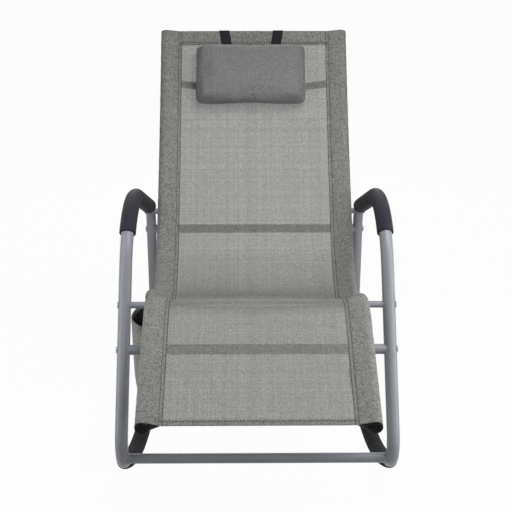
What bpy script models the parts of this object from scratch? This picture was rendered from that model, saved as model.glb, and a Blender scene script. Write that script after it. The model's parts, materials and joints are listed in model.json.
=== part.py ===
"""Outdoor rocking chair: two bent side frames on curved runners carry a full-length sling.

The chair faces -Y and rests on z = 0. Lengths are in metres and angles in degrees.
"""

import math
from math import cos, pi, radians, sin, tan

import bmesh
import bpy
from mathutils import Matrix, Vector

# Clearances
TOUCH_GAP = 0.0003
BOLT_CLEARANCE = 0.0004
SLOT_CLEARANCE = 0.0010

# Side frames: a wide tube from the arm round to the end of the runner, and a rear tube that closes the loop
SIDE_TUBE_OD = 0.028
SIDE_TUBE_WALL = 0.0015
REAR_TUBE_OD = 0.0242
REAR_TUBE_WALL = 0.0012
TUBE_INSERTION = 0.045
FRAME_OUTSIDE_RAIL = 0.061
FRAME_PIVOT_Y = 0.017
TOE_IN = 2.7
UPRIGHT_ANGLE = 66.5
ARM_SLOPE = 20.0
REAR_LEAN = 7.0
ARM_BEND_RADIUS = 0.183
ELBOW_RADIUS = 0.060
REAR_BEND_RADIUS = 0.060
ROCKER_RADIUS = 0.82
ROCKER_LOW_Y = 0.378
RUNNER_STEP = 5.0

# Sleeves on the side frames
GRIP_OD = 0.0365
RUNNER_SLEEVE_OD = 0.0360
ARM_TUBE_FROM_REAR_BEND = 0.012
GRIP_FROM_REAR_BEND = 0.008
GRIP_STOPS_ABOVE_UPRIGHT = 0.079
RUNNER_SLEEVE_FRONT = 0.012
RUNNER_SLEEVE_REAR = 0.010

# Cross bars between the side frames
FLOOR_BAR_OD = 0.022
CROSS_BAR_OD = 0.022
CROSS_BAR_WALL = 0.0012
FLOOR_BAR_ROUND_ELBOW = 0.7
FRONT_BAR_HEIGHT = 0.337
REAR_BAR_HEIGHT = 0.442
INSERT_LENGTH = 0.024

# Seat rails, from the foot end to the head end
RAIL_OD = 0.025
RAIL_WALL = 0.0012
RAIL_HALF_SPACING = 0.228
FOOT_Y = -0.2458
FOOT_Z = 0.2953
LEG_ANGLE = 21.8
LEG_LENGTH = 0.320
KNEE_RADIUS = 0.155
THIGH_ANGLE = -33.0
THIGH_LENGTH = 0.010
HIP_RADIUS = 0.30
BACK_ANGLE = 44.5
BACK_RADIUS = 2.6
BACK_LENGTH = 0.588
KNEE_BOLT_AFTER_LEG = 0.059
ARM_BOLT_UP_BACK = 0.084
HEAD_BAR_BELOW_TOP = 0.135
HEAD_BAR_OD = 0.019
HEAD_BAR_BOW = 0.045

# Fasteners
BOLT_SHAFT = 0.008
BOLT_HEAD = 0.015
BOLT_CROWN = 0.009
BOLT_HEAD_HEIGHT = 0.0032
BOLT_RIM_HEIGHT = 0.0013
SPACER_OD = 0.0145
SPACER_WALL = 0.0028
RIVET_NUT_OD = 0.0125
RIVET_NUT_LENGTH = 0.008
BOLT_INTO_BAR = 0.018

# Rail end caps
CAP_FLANGE_OD = 0.0275
CAP_FLANGE = 0.0035
CAP_NOSE_OD = 0.0245
CAP_NOSE = 0.0035
CAP_SPIGOT = 0.016
HEAD_PLUG_CAP = 0.0025

# Sling
SLING_THICKNESS = 0.0010
SLING_FOOT_MARGIN = 0.0005
SLING_HEAD_OVERHANG = 0.006
SLEEVE_WIDTH = 0.050
SLEEVE_FOLD_GAP = 0.0004
PANEL_BELOW_SLEEVE = 0.0085
SLING_SETTLE = 0.0014
SLING_SETTLE_SPAN = 0.08

# Headrest pillow and its two straps
PILLOW_WIDTH = 0.289
PILLOW_HEIGHT = 0.166
PILLOW_DEPTH = 0.060
PILLOW_OFFSET_X = -0.0085
PILLOW_BELOW_TOP = 0.052
PILLOW_LIFT = 0.0003
PILLOW_EDGE = 0.006
PILLOW_DRAW_IN = 0.004
PILLOW_CORNER_CUT = 0.007
PILLOW_BACK = 0.015
STRAP_WIDTH = 0.026
STRAP_THICKNESS = 0.0012
STRAP_SPACING = 0.142
STRAP_BEHIND_PILLOW = 0.100
STRAP_DOWN_BACK = 0.095
BUCKLE_WIDTH = 0.036
BUCKLE_HEIGHT = 0.024
BUCKLE_THICKNESS = 0.004
BUCKLE_BAR = 0.004

# Side pocket on the left rail
POCKET_FRONT_Y = 0.118
POCKET_LENGTH = 0.200
POCKET_BULGE = 0.034
POCKET_BULGE_FORWARD = 0.756
POCKET_LIP_DROP = 0.055
POCKET_DEPTH = 0.235
POCKET_TAPER = 0.026
POCKET_BOTTOM_PINCH = 0.3
POCKET_WALL = 0.0012
POCKET_STANDOFF = 0.0007

# Mesh fineness
SAME_PLACE = 0.0001
TUBE_SIDES = 10
TURNED_STEPS = 12
BEND_STEP = 14.0
KNEE_STEP = 11.0
BACK_STEP = 2.6
SLEEVE_STEP = 30.0
CUTTER_SIDES = 12
PILLOW_CUTS = 7
HEAD_BAR_STEPS = 8
STRAP_TURN_STEPS = 5
POCKET_COLUMNS = 16
POCKET_ROWS = 6

# Side frames stand this far out at their pivot
FRAME_HALF_WIDTH = RAIL_HALF_SPACING + FRAME_OUTSIDE_RAIL

# A faceted round is this much narrower across its flats than across its corners
TUBE_FLATS = cos(pi / TUBE_SIDES)
TURNED_FLATS = cos(pi / TURNED_STEPS)
THREAD_RADIUS = (BOLT_SHAFT / 2 + TOUCH_GAP) / TURNED_FLATS

# Finishes as colour, roughness and metallic
SATIN_GREY_PAINT = ((0.46, 0.47, 0.47, 1.0), 0.38, 0.55)
BLACK_FOAM = ((0.022, 0.022, 0.024, 1.0), 0.75, 0.0)
BLACK_PLASTIC = ((0.016, 0.016, 0.018, 1.0), 0.45, 0.0)
ZINC_STEEL = ((0.52, 0.53, 0.55, 1.0), 0.32, 0.9)
GREY_MESH_CLOTH = ((0.29, 0.285, 0.27, 1.0), 0.8, 0.0)
BLACK_WEBBING = ((0.014, 0.014, 0.016, 1.0), 0.7, 0.0)

LEFT = -1
RIGHT = 1
SIDE_NAMES = {LEFT: "left", RIGHT: "right"}


# Paths in the side plane

class BentPath:
    """Centre line of a bent tube in a vertical plane, as straight runs and round bends."""

    def __init__(self, start, heading):
        self.start = Vector(start)
        self.heading = heading
        self.runs = []
        self.marks = []
        self.length = 0.0

    def add(self, length, turn, step, phase):
        """Append one run that turns by an angle over its length."""
        self.runs.append((self.length, length, self.start.copy(), self.heading, turn, step, phase))
        self.length += length
        self.start, self.heading = self.walk(self.runs[-1], length)

    def straight(self, length):
        """Append a straight run and return the distance where it starts."""
        begin = self.length
        self.add(length, 0.0, 0.0, 0.0)
        return begin

    def turn(self, radius, angle, step=BEND_STEP, phase=0.0):
        """Append a bend to the left for a positive angle and return the distance where it starts."""
        begin = self.length
        self.add(radius * radians(abs(angle)), angle, step, phase)
        return begin

    @staticmethod
    def walk(run, travelled):
        """Return the point and heading after some travel along one run."""
        _, length, start, heading, turn, _, _ = run
        first = radians(heading)
        if turn == 0.0:
            return start + travelled * Vector((cos(first), sin(first))), heading
        swept = turn * travelled / length
        signed_radius = length / radians(turn)
        last = radians(heading + swept)
        step = Vector((sin(last) - sin(first), cos(first) - cos(last)))
        return start + signed_radius * step, heading + swept

    def at(self, distance):
        """Return the point and heading at a distance along the path, also a little past its ends."""
        run = self.runs[0]
        for candidate in self.runs:
            if candidate[0] <= distance:
                run = candidate
        return self.walk(run, distance - run[0])

    def stops(self, first, last):
        """Return the distances between two places at which a swept shape needs a section."""
        found = [first, last] + self.marks
        for begin, length, _, heading, turn, step, phase in self.runs:
            places = [begin]
            if turn != 0.0:
                low = min(heading, heading + turn)
                high = max(heading, heading + turn)
                mark = math.ceil(low / step - phase) + phase
                while mark * step < high:
                    places.append(begin + length * abs(mark * step - heading) / abs(turn))
                    mark += 1
            found += places
        kept = [first]
        for place in sorted(found):
            if first < place <= last and place - kept[-1] > SAME_PLACE:
                kept.append(place)
        return kept

    def normal_point(self, distance, offset):
        """Return the point at an offset to the left of the path."""
        point, heading = self.at(distance)
        return point + offset * Vector((-sin(radians(heading)), cos(radians(heading))))


def crossing(point_a, angle_a, point_b, angle_b):
    """Return where two lines in the side plane cross."""
    direction_a = Vector((cos(radians(angle_a)), sin(radians(angle_a))))
    direction_b = Vector((cos(radians(angle_b)), sin(radians(angle_b))))
    between = point_b - point_a
    travel = between.cross(direction_b) / direction_a.cross(direction_b)
    return point_a + travel * direction_a


def line_to_arc_fillet(point, angle, inward, radius, centre, arc_radius):
    """Return the centre of a bend that touches a line and the inside of a large arc.

    The line passes through point at an angle and inward points into the loop. Of the two crossings
    it takes the lower one.
    """
    direction = Vector((cos(radians(angle)), sin(radians(angle))))
    base = point + inward * radius - centre
    along = base.dot(direction)
    rest = (arc_radius - radius) ** 2 - (base.length_squared - along ** 2)
    travel = -along - math.sqrt(rest)
    return centre + base + travel * direction


def rail_path():
    """Return the seat rail's path from foot to head, with the distances of its main places."""
    path = BentPath((FOOT_Y, FOOT_Z), LEG_ANGLE)
    path.straight(LEG_LENGTH)
    knee = path.turn(KNEE_RADIUS, THIGH_ANGLE - LEG_ANGLE, KNEE_STEP)
    path.straight(THIGH_LENGTH)
    path.turn(HIP_RADIUS, BACK_ANGLE - THIGH_ANGLE, KNEE_STEP)
    back = path.turn(BACK_RADIUS, math.degrees(BACK_LENGTH / BACK_RADIUS), BACK_STEP)
    places = {"knee_bolt": knee + KNEE_BOLT_AFTER_LEG, "arm_bolt": back + ARM_BOLT_UP_BACK}
    return path, places


RAIL, RAIL_AT = rail_path()
SLING_RADIUS = (RAIL_OD / 2 + TOUCH_GAP) / cos(radians(SLEEVE_STEP / 2)) + SLING_THICKNESS / 2
SLING_FIRST = SLING_FOOT_MARGIN
SLING_LAST = RAIL.length + SLING_HEAD_OVERHANG
STRAP_FRONT = SLING_LAST - STRAP_BEHIND_PILLOW
STRAP_BACK = SLING_LAST - STRAP_DOWN_BACK
RAIL.marks = [STRAP_FRONT, STRAP_BACK]
FOOT_REACH = RAIL.at(-(CAP_FLANGE + CAP_NOSE))[0].x - CAP_NOSE_OD / 2 * sin(radians(LEG_ANGLE))
HEAD_REACH = RAIL.normal_point(SLING_LAST, -SLING_RADIUS).x
CENTRE_Y = (FOOT_REACH + HEAD_REACH) / 2


def plane_y(world_y):
    """Return the distance along a side frame's plane that lies at a given y."""
    return FRAME_PIVOT_Y + (world_y - FRAME_PIVOT_Y) / cos(radians(TOE_IN))


def side_point(side, along, height):
    """Return the place in the chair of a point in a side frame's plane."""
    reach = along - FRAME_PIVOT_Y
    x = side * (FRAME_HALF_WIDTH - reach * sin(radians(TOE_IN)))
    return Vector((x, FRAME_PIVOT_Y + reach * cos(radians(TOE_IN)), height))


def loop_path():
    """Return the side frame's closed path, from the rear of the arm forwards and round."""
    knee_bolt = RAIL.at(RAIL_AT["knee_bolt"])[0]
    arm_bolt = RAIL.at(RAIL_AT["arm_bolt"])[0]
    on_upright = Vector((plane_y(knee_bolt.x), knee_bolt.y))
    arm_heading = 180.0 - ARM_SLOPE
    leg_heading = 90.0 + REAR_LEAN
    rear_turn = arm_heading - leg_heading
    outward = radians((leg_heading + arm_heading - 180.0) / 2)
    rise = REAR_BEND_RADIUS * (1 / cos(radians(rear_turn / 2)) - 1)
    on_bend = Vector((plane_y(arm_bolt.x), arm_bolt.y))
    rear_top = on_bend + rise * Vector((cos(outward), sin(outward)))
    front_top = crossing(rear_top, arm_heading, on_upright, UPRIGHT_ANGLE)
    low_radius = RUNNER_SLEEVE_OD / 2 * TUBE_FLATS
    centre_height = (ROCKER_RADIUS + low_radius) * cos(radians(RUNNER_STEP / 2))
    rocker_centre = Vector((ROCKER_LOW_Y, centre_height))
    inside_front = Vector((sin(radians(UPRIGHT_ANGLE)), -cos(radians(UPRIGHT_ANGLE))))
    inside_rear = Vector((-sin(radians(leg_heading)), cos(radians(leg_heading))))
    elbow = line_to_arc_fillet(on_upright, UPRIGHT_ANGLE, inside_front, ELBOW_RADIUS,
                               rocker_centre, ROCKER_RADIUS)
    heel = line_to_arc_fillet(rear_top, leg_heading, inside_rear, REAR_BEND_RADIUS,
                              rocker_centre, ROCKER_RADIUS)
    down_heading = 180.0 + UPRIGHT_ANGLE
    runner_start = math.degrees(math.atan2(elbow.x - rocker_centre.x, rocker_centre.y - elbow.y))
    runner_end = math.degrees(math.atan2(heel.x - rocker_centre.x, rocker_centre.y - heel.y))
    front_turn = down_heading - arm_heading
    front_tangent = ARM_BEND_RADIUS * tan(radians(front_turn / 2))
    rear_tangent = REAR_BEND_RADIUS * tan(radians(rear_turn / 2))
    arm_run = (front_top - rear_top).length - front_tangent - rear_tangent
    elbow_touch = elbow - inside_front * ELBOW_RADIUS
    heel_touch = heel - inside_rear * REAR_BEND_RADIUS
    upright_run = (front_top - elbow_touch).length - front_tangent
    leg_run = (rear_top - heel_touch).length - rear_tangent
    arm_direction = Vector((cos(radians(arm_heading)), sin(radians(arm_heading))))
    path = BentPath(rear_top + arm_direction * rear_tangent, arm_heading)
    places = {"arm": path.straight(arm_run)}
    places["front_bend"] = path.turn(ARM_BEND_RADIUS, front_turn)
    places["upright"] = path.straight(upright_run)
    places["elbow"] = path.turn(ELBOW_RADIUS, 360.0 + runner_start - down_heading, 2 * BEND_STEP)
    places["runner"] = path.turn(ROCKER_RADIUS, runner_end - runner_start, RUNNER_STEP, 0.5)
    places["heel"] = path.turn(REAR_BEND_RADIUS, leg_heading - runner_end, 2 * BEND_STEP)
    places["rear_leg"] = path.straight(leg_run)
    places["rear_bend"] = path.turn(REAR_BEND_RADIUS, rear_turn, 2 * BEND_STEP)
    places["close"] = path.straight(arm_run)
    return path, places


LOOP, LOOP_AT = loop_path()
ARM_JOINT = LOOP_AT["arm"] + ARM_TUBE_FROM_REAR_BEND
ARM_JOINT_REAR = LOOP_AT["close"] + ARM_TUBE_FROM_REAR_BEND
RUNNER_JOINT = LOOP_AT["heel"] - TUBE_INSERTION
GRIP_FIRST = LOOP_AT["arm"] + GRIP_FROM_REAR_BEND
GRIP_LAST = LOOP_AT["upright"] - GRIP_STOPS_ABOVE_UPRIGHT
RUNNER_SLEEVE_FIRST = LOOP_AT["runner"] + RUNNER_SLEEVE_FRONT
RUNNER_SLEEVE_LAST = LOOP_AT["heel"] - RUNNER_SLEEVE_REAR
REAR_TUBE_FIRST = RUNNER_JOINT - TUBE_INSERTION
REAR_TUBE_LAST = ARM_JOINT_REAR + TUBE_INSERTION
LOOP.marks = [GRIP_LAST, RUNNER_SLEEVE_FIRST, RUNNER_SLEEVE_LAST, RUNNER_JOINT, REAR_TUBE_FIRST]


def loop_place_at_height(height, first, last):
    """Return the distance along a straight run of the side loop at a height."""
    low = LOOP.at(first)[0].y
    high = LOOP.at(last)[0].y
    return first + (last - first) * (height - low) / (high - low)


# Scene, materials and basic shapes

def clear_scene():
    """Remove every object, so that a rerun starts clean."""
    for old in list(bpy.data.objects):
        bpy.data.objects.remove(old, do_unlink=True)


def new_collection(name):
    """Add a collection to the scene."""
    group = bpy.data.collections.get(name) or bpy.data.collections.new(name)
    if group.name not in bpy.context.scene.collection.children:
        bpy.context.scene.collection.children.link(group)
    return group


clear_scene()
CHAIR = new_collection("outdoor_rocking_chair")
CUTTERS = new_collection("cutters")
ROOT = bpy.data.objects.new("chair_root", None)
CHAIR.objects.link(ROOT)
ROOT.location = (0.0, -CENTRE_Y, 0.0)


def side_axis(side):
    """Add the empty that carries one side frame at its toe-in."""
    empty = bpy.data.objects.new("side_frame_" + SIDE_NAMES[side], None)
    CHAIR.objects.link(empty)
    empty.parent = ROOT
    empty.location = (side * FRAME_HALF_WIDTH, FRAME_PIVOT_Y, 0.0)
    empty.rotation_euler = (0.0, 0.0, side * radians(TOE_IN))
    return empty


SIDE_AXES = {side: side_axis(side) for side in (LEFT, RIGHT)}


def finish_material(name, finish):
    """Make one Principled material from a colour, a roughness and a metallic value."""
    colour, roughness, metallic = finish
    material = bpy.data.materials.new(name)
    material.use_nodes = True
    shader = material.node_tree.nodes["Principled BSDF"]
    shader.inputs["Base Color"].default_value = colour
    shader.inputs["Roughness"].default_value = roughness
    shader.inputs["Metallic"].default_value = metallic
    material.diffuse_color = colour
    return material


def add_part(name, mesh, finish, parent=ROOT):
    """Put a mesh in the chair as a named piece."""
    piece = bpy.data.objects.new(name, mesh)
    CHAIR.objects.link(piece)
    piece.parent = parent
    mesh.materials.append(finish_material(name + "_finish", finish))
    mesh.shade_smooth()
    mesh.set_sharp_from_angle(angle=radians(40.0))
    return piece


def add_cutter(name, mesh, parent=ROOT):
    """Put a mesh among the cutters."""
    cutter = bpy.data.objects.new(name, mesh)
    CUTTERS.objects.link(cutter)
    cutter.parent = parent
    cutter.hide_render = True
    cutter.display_type = "WIRE"
    return cutter


def cut(piece, cutter):
    """Subtract a cutter from a piece."""
    boolean = piece.modifiers.new("cut_" + cutter.name, "BOOLEAN")
    boolean.operation = "DIFFERENCE"
    boolean.solver = "EXACT"
    boolean.object = cutter


def thicken(piece, thickness, offset, even=True):
    """Give an open surface its wall, even round corners unless the surface has sharp folds."""
    wall = piece.modifiers.new("wall", "SOLIDIFY")
    wall.thickness = thickness
    wall.offset = offset
    wall.use_even_offset = even


def swept_mesh(name, points, radius, capped):
    """Return the mesh of a round tube along points, open or with its ends closed."""
    curve = bpy.data.curves.new(name + "_curve", "CURVE")
    curve.dimensions = "3D"
    curve.twist_mode = "MINIMUM"
    curve.bevel_depth = radius
    curve.bevel_resolution = TUBE_SIDES // 2 - 2
    curve.use_fill_caps = capped
    spline = curve.splines.new("POLY")
    spline.points.add(len(points) - 1)
    for knot, point in zip(spline.points, points):
        knot.co = (point[0], point[1], point[2], 1.0)
    holder = bpy.data.objects.new(name + "_sweep", curve)
    CHAIR.objects.link(holder)
    graph = bpy.context.evaluated_depsgraph_get()
    mesh = bpy.data.meshes.new_from_object(holder.evaluated_get(graph))
    mesh.name = name
    bpy.data.objects.remove(holder, do_unlink=True)
    bpy.data.curves.remove(curve)
    shape = bmesh.new()
    shape.from_mesh(mesh)
    bmesh.ops.remove_doubles(shape, verts=shape.verts, dist=0.00001)
    bmesh.ops.recalc_face_normals(shape, faces=shape.faces)
    shape.to_mesh(mesh)
    shape.free()
    mesh.materials.clear()
    return mesh


def loop_points(first, last):
    """Return points of the side loop in its own plane."""
    points = []
    for distance in LOOP.stops(first, last):
        place = LOOP.at(distance)[0]
        points.append(Vector((0.0, place.x - FRAME_PIVOT_Y, place.y)))
    return points


def rail_points(x, first, last):
    """Return points of a seat rail's centre line."""
    points = []
    for distance in RAIL.stops(first, last):
        place = RAIL.at(distance)[0]
        points.append(Vector((x, place.x, place.y)))
    return points


def tube(name, points, outer, wall, finish, parent=ROOT):
    """Make a hollow bent tube with open ends."""
    piece = add_part(name, swept_mesh(name, points, outer / 2, False), finish, parent)
    thicken(piece, wall, -1.0)
    return piece


def solid_tube_cutter(name, points, radius, parent=ROOT):
    """Make a cutter in the shape of a closed bent rod."""
    return add_cutter(name, swept_mesh(name, points, radius, True), parent)


def turned_mesh(name, profile):
    """Return a shape turned about X from a profile of radius and place, listed towards -X."""
    mesh = bpy.data.meshes.new(name)
    shape = bmesh.new()
    knots = [shape.verts.new((radius, 0.0, place)) for radius, place in profile]
    for first, last in zip(knots, knots[1:]):
        shape.edges.new((first, last))
    bmesh.ops.spin(shape, geom=shape.verts[:] + shape.edges[:], cent=(0.0, 0.0, 0.0),
                   axis=(0.0, 0.0, 1.0), angle=2 * pi, steps=TURNED_STEPS)
    bmesh.ops.remove_doubles(shape, verts=shape.verts, dist=0.00001)
    bmesh.ops.recalc_face_normals(shape, faces=shape.faces)
    bmesh.ops.rotate(shape, verts=shape.verts, cent=(0.0, 0.0, 0.0),
                     matrix=Matrix.Rotation(pi / 2, 3, "Y"))
    shape.to_mesh(mesh)
    shape.free()
    return mesh


def ring_profile(outer, inner, first, last):
    """Return the closed profile of a ring between two places."""
    return [(inner, first), (outer, first), (outer, last), (inner, last), (inner, first)]


def rod_mesh(name, radius, first, last):
    """Return a round rod along X between two places."""
    mesh = bpy.data.meshes.new(name)
    shape = bmesh.new()
    turn = Matrix.Rotation(pi / 2, 4, "Y")
    middle = Matrix.Translation(((first + last) / 2, 0.0, 0.0))
    bmesh.ops.create_cone(shape, cap_ends=True, segments=CUTTER_SIDES, radius1=radius, radius2=radius,
                          depth=abs(last - first), matrix=middle @ turn)
    shape.to_mesh(mesh)
    shape.free()
    return mesh


def bolt_hole(name, radius, first, last, y, z):
    """Make a round cutter along X through a place in the side plane."""
    cutter = add_cutter(name, rod_mesh(name, radius, first, last))
    cutter.location = (0.0, y, z)
    return cutter


def sheet_mesh(name, columns, rows, place, closed=False):
    """Return a grid whose corners are set by place(column, row), welded where columns close up."""
    mesh = bpy.data.meshes.new(name)
    shape = bmesh.new()
    bmesh.ops.create_grid(shape, x_segments=columns, y_segments=rows, size=0.5)
    for knot in shape.verts:
        column = round((knot.co.x + 0.5) * columns)
        row = round((knot.co.y + 0.5) * rows)
        knot.co = place(column, row)
    if closed:
        bmesh.ops.remove_doubles(shape, verts=shape.verts, dist=0.00005)
    bmesh.ops.recalc_face_normals(shape, faces=shape.faces)
    shape.to_mesh(mesh)
    shape.free()
    return mesh


# Side frames

def build_side_frame(side):
    """Make one side frame: its two tubes, the runner sleeve and the arm grip."""
    word = SIDE_NAMES[side]
    axis = SIDE_AXES[side]
    main = tube("side_tube_" + word, loop_points(ARM_JOINT, RUNNER_JOINT), SIDE_TUBE_OD, SIDE_TUBE_WALL,
                SATIN_GREY_PAINT, axis)
    rear = tube("rear_tube_" + word, loop_points(REAR_TUBE_FIRST, REAR_TUBE_LAST), REAR_TUBE_OD,
                REAR_TUBE_WALL, SATIN_GREY_PAINT, axis)
    sleeve_wall = RUNNER_SLEEVE_OD / 2 - SIDE_TUBE_OD / 2 - TOUCH_GAP
    tube("runner_sleeve_" + word, loop_points(RUNNER_SLEEVE_FIRST, RUNNER_SLEEVE_LAST),
         RUNNER_SLEEVE_OD, sleeve_wall, BLACK_FOAM, axis)
    grip_wall = GRIP_OD / 2 - SIDE_TUBE_OD / 2 - TOUCH_GAP
    tube("arm_grip_" + word, loop_points(GRIP_FIRST, GRIP_LAST), GRIP_OD, grip_wall, BLACK_FOAM, axis)
    return main, rear


def build_bar(name, side_tubes, side_od, distance, outer, bolted):
    """Make a bar across the chair whose ends fit round the side tubes at a place on their loop."""
    place = LOOP.at(distance)[0]
    centre = side_point(RIGHT, place.x, place.y)
    bar = add_part(name, rod_tube_mesh(name, outer / 2, centre.x), SATIN_GREY_PAINT)
    bar.location = (0.0, centre.y, centre.z)
    thicken(bar, CROSS_BAR_WALL, -1.0)
    for side in (LEFT, RIGHT):
        word = SIDE_NAMES[side]
        saddle_points = loop_points(distance - outer, distance + outer)
        saddle = solid_tube_cutter(name + "_saddle_" + word, saddle_points, side_od / 2 + TOUCH_GAP,
                                   SIDE_AXES[side])
        cut(bar, saddle)
        if bolted:
            build_bar_bolt(name, side, side_tubes[side], side_od, centre, outer)
    return bar


def rod_tube_mesh(name, radius, half_length):
    """Return an open round tube along X."""
    mesh = bpy.data.meshes.new(name)
    shape = bmesh.new()
    turn = Matrix.Rotation(pi / 2, 4, "Y")
    bmesh.ops.create_cone(shape, cap_ends=False, segments=TURNED_STEPS, radius1=radius, radius2=radius,
                          depth=2 * half_length, matrix=turn)
    bmesh.ops.recalc_face_normals(shape, faces=shape.faces)
    shape.to_mesh(mesh)
    shape.free()
    return mesh


def bolt_profile(length):
    """Return the profile of a low round-headed bolt whose head seats at place 0 and faces +."""
    return [(0.0, BOLT_HEAD_HEIGHT), (BOLT_CROWN / 2, BOLT_HEAD_HEIGHT), (BOLT_HEAD / 2, BOLT_RIM_HEIGHT),
            (BOLT_HEAD / 2, 0.0), (BOLT_SHAFT / 2, 0.0), (BOLT_SHAFT / 2, -length), (0.0, -length)]


def place_turned(name, side, profile, finish, seat, y, z):
    """Put a turned piece on a cross axis, with its + end outwards and place 0 at the seat."""
    piece = add_part(name, turned_mesh(name, profile), finish)
    piece.location = (side * seat, y, z)
    if side == LEFT:
        piece.rotation_euler = (0.0, 0.0, pi)
    return piece


def build_bar_bolt(bar_name, side, side_tube, side_od, centre, outer):
    """Make the bolt that holds one end of a bar, and the threaded insert in the bar's end."""
    word = SIDE_NAMES[side]
    seat = centre.x + side_od / 2 + TOUCH_GAP
    insert_first = centre.x - side_od / 2 - TOUCH_GAP
    length = seat - insert_first + BOLT_INTO_BAR
    place_turned(bar_name + "_bolt_" + word, side, bolt_profile(length), ZINC_STEEL, seat,
                 centre.y, centre.z)
    hole = bolt_hole(bar_name + "_hole_" + word, BOLT_SHAFT / 2 + BOLT_CLEARANCE, 0.0,
                     side * (seat + BOLT_HEAD), centre.y, centre.z)
    cut(side_tube, hole)
    insert_outer = (outer / 2 - CROSS_BAR_WALL) * TURNED_FLATS - TOUCH_GAP
    profile = ring_profile(insert_outer, THREAD_RADIUS, 0.0, -INSERT_LENGTH)
    place_turned(bar_name + "_insert_" + word, side, profile, ZINC_STEEL, insert_first,
                 centre.y, centre.z)


# Seat rails and what joins them to the side frames

def build_rail(side):
    """Make one bent seat rail with its foot cap and head plug."""
    word = SIDE_NAMES[side]
    x = side * RAIL_HALF_SPACING
    rail = tube("seat_rail_" + word, rail_points(x, 0.0, RAIL.length), RAIL_OD, RAIL_WALL, SATIN_GREY_PAINT)
    spigot = (RAIL_OD / 2 - RAIL_WALL) * TUBE_FLATS - TOUCH_GAP
    foot_profile = [(0.0, CAP_FLANGE + CAP_NOSE), (CAP_NOSE_OD * 0.38, CAP_FLANGE + CAP_NOSE),
                    (CAP_NOSE_OD / 2, CAP_FLANGE + CAP_NOSE * 0.6), (CAP_NOSE_OD / 2, CAP_FLANGE),
                    (CAP_FLANGE_OD / 2, CAP_FLANGE), (CAP_FLANGE_OD / 2, TOUCH_GAP), (spigot, TOUCH_GAP),
                    (spigot, -CAP_SPIGOT), (0.0, -CAP_SPIGOT)]
    end_plug("rail_foot_cap_" + word, foot_profile, x, 0.0, 180.0)
    head_profile = [(0.0, HEAD_PLUG_CAP), (RAIL_OD * 0.4, HEAD_PLUG_CAP), (RAIL_OD / 2, TOUCH_GAP),
                    (spigot, TOUCH_GAP), (spigot, -CAP_SPIGOT), (0.0, -CAP_SPIGOT)]
    end_plug("rail_head_plug_" + word, head_profile, x, RAIL.length, 0.0)
    return rail


def end_plug(name, profile, x, distance, flip):
    """Put a plug in a rail's end, with its + end away from the rail."""
    point, heading = RAIL.at(distance)
    plug = add_part(name, turned_mesh(name, profile), BLACK_PLASTIC)
    plug.location = (x, point.x, point.y)
    plug.rotation_mode = "ZYX"
    plug.rotation_euler = (radians(heading + flip), 0.0, pi / 2)
    return plug


def build_rail_joint(name, side, side_tube, side_od, rail, sling, loop_distance, rail_distance):
    """Bolt a side tube to a rail through a spacer, and open the sling's sleeve for it."""
    word = SIDE_NAMES[side]
    rail_place = RAIL.at(rail_distance)[0]
    loop_place = LOOP.at(loop_distance)[0]
    tube_x = side_point(RIGHT, loop_place.x, loop_place.y).x
    y, z = rail_place
    mesh = rod_tube_mesh(name + "_spacer", SPACER_OD / 2, (tube_x - RAIL_HALF_SPACING) / 2)
    spacer = add_part(name + "_spacer_" + word, mesh, SATIN_GREY_PAINT)
    spacer.location = (side * (tube_x + RAIL_HALF_SPACING) / 2, y, z)
    thicken(spacer, SPACER_WALL, -1.0)
    rail_x = side * RAIL_HALF_SPACING
    reach = 1.5 * SPACER_OD
    cut(spacer, solid_tube_cutter(name + "_tube_saddle_" + word,
                                  loop_points(loop_distance - reach, loop_distance + reach),
                                  side_od / 2 + TOUCH_GAP, SIDE_AXES[side]))
    cut(spacer, solid_tube_cutter(name + "_rail_saddle_" + word,
                                  rail_points(rail_x, rail_distance - reach, rail_distance + reach),
                                  RAIL_OD / 2 + TOUCH_GAP))
    seat = tube_x + side_od / 2 + TOUCH_GAP
    nut_first = RAIL_HALF_SPACING + (RAIL_OD / 2 - RAIL_WALL) * TUBE_FLATS - 2 * TOUCH_GAP
    nut_seat = nut_first - RIVET_NUT_OD ** 2 / (4 * RAIL_OD)
    length = seat - nut_seat + RIVET_NUT_LENGTH
    place_turned(name + "_bolt_" + word, side, bolt_profile(length), ZINC_STEEL, seat, y, z)
    nut = ring_profile(RIVET_NUT_OD / 2, THREAD_RADIUS, 0.0, -RIVET_NUT_LENGTH)
    place_turned(name + "_nut_" + word, side, nut, ZINC_STEEL, nut_seat, y, z)
    hole = bolt_hole(name + "_hole_" + word, BOLT_SHAFT / 2 + BOLT_CLEARANCE, side * RAIL_HALF_SPACING,
                     side * (seat + BOLT_HEAD), y, z)
    cut(side_tube, hole)
    cut(rail, hole)
    window = bolt_hole(name + "_window_" + word, SPACER_OD / 2 + SLOT_CLEARANCE, side * RAIL_HALF_SPACING,
                       side * seat, y, z)
    cut(sling, window)


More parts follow.
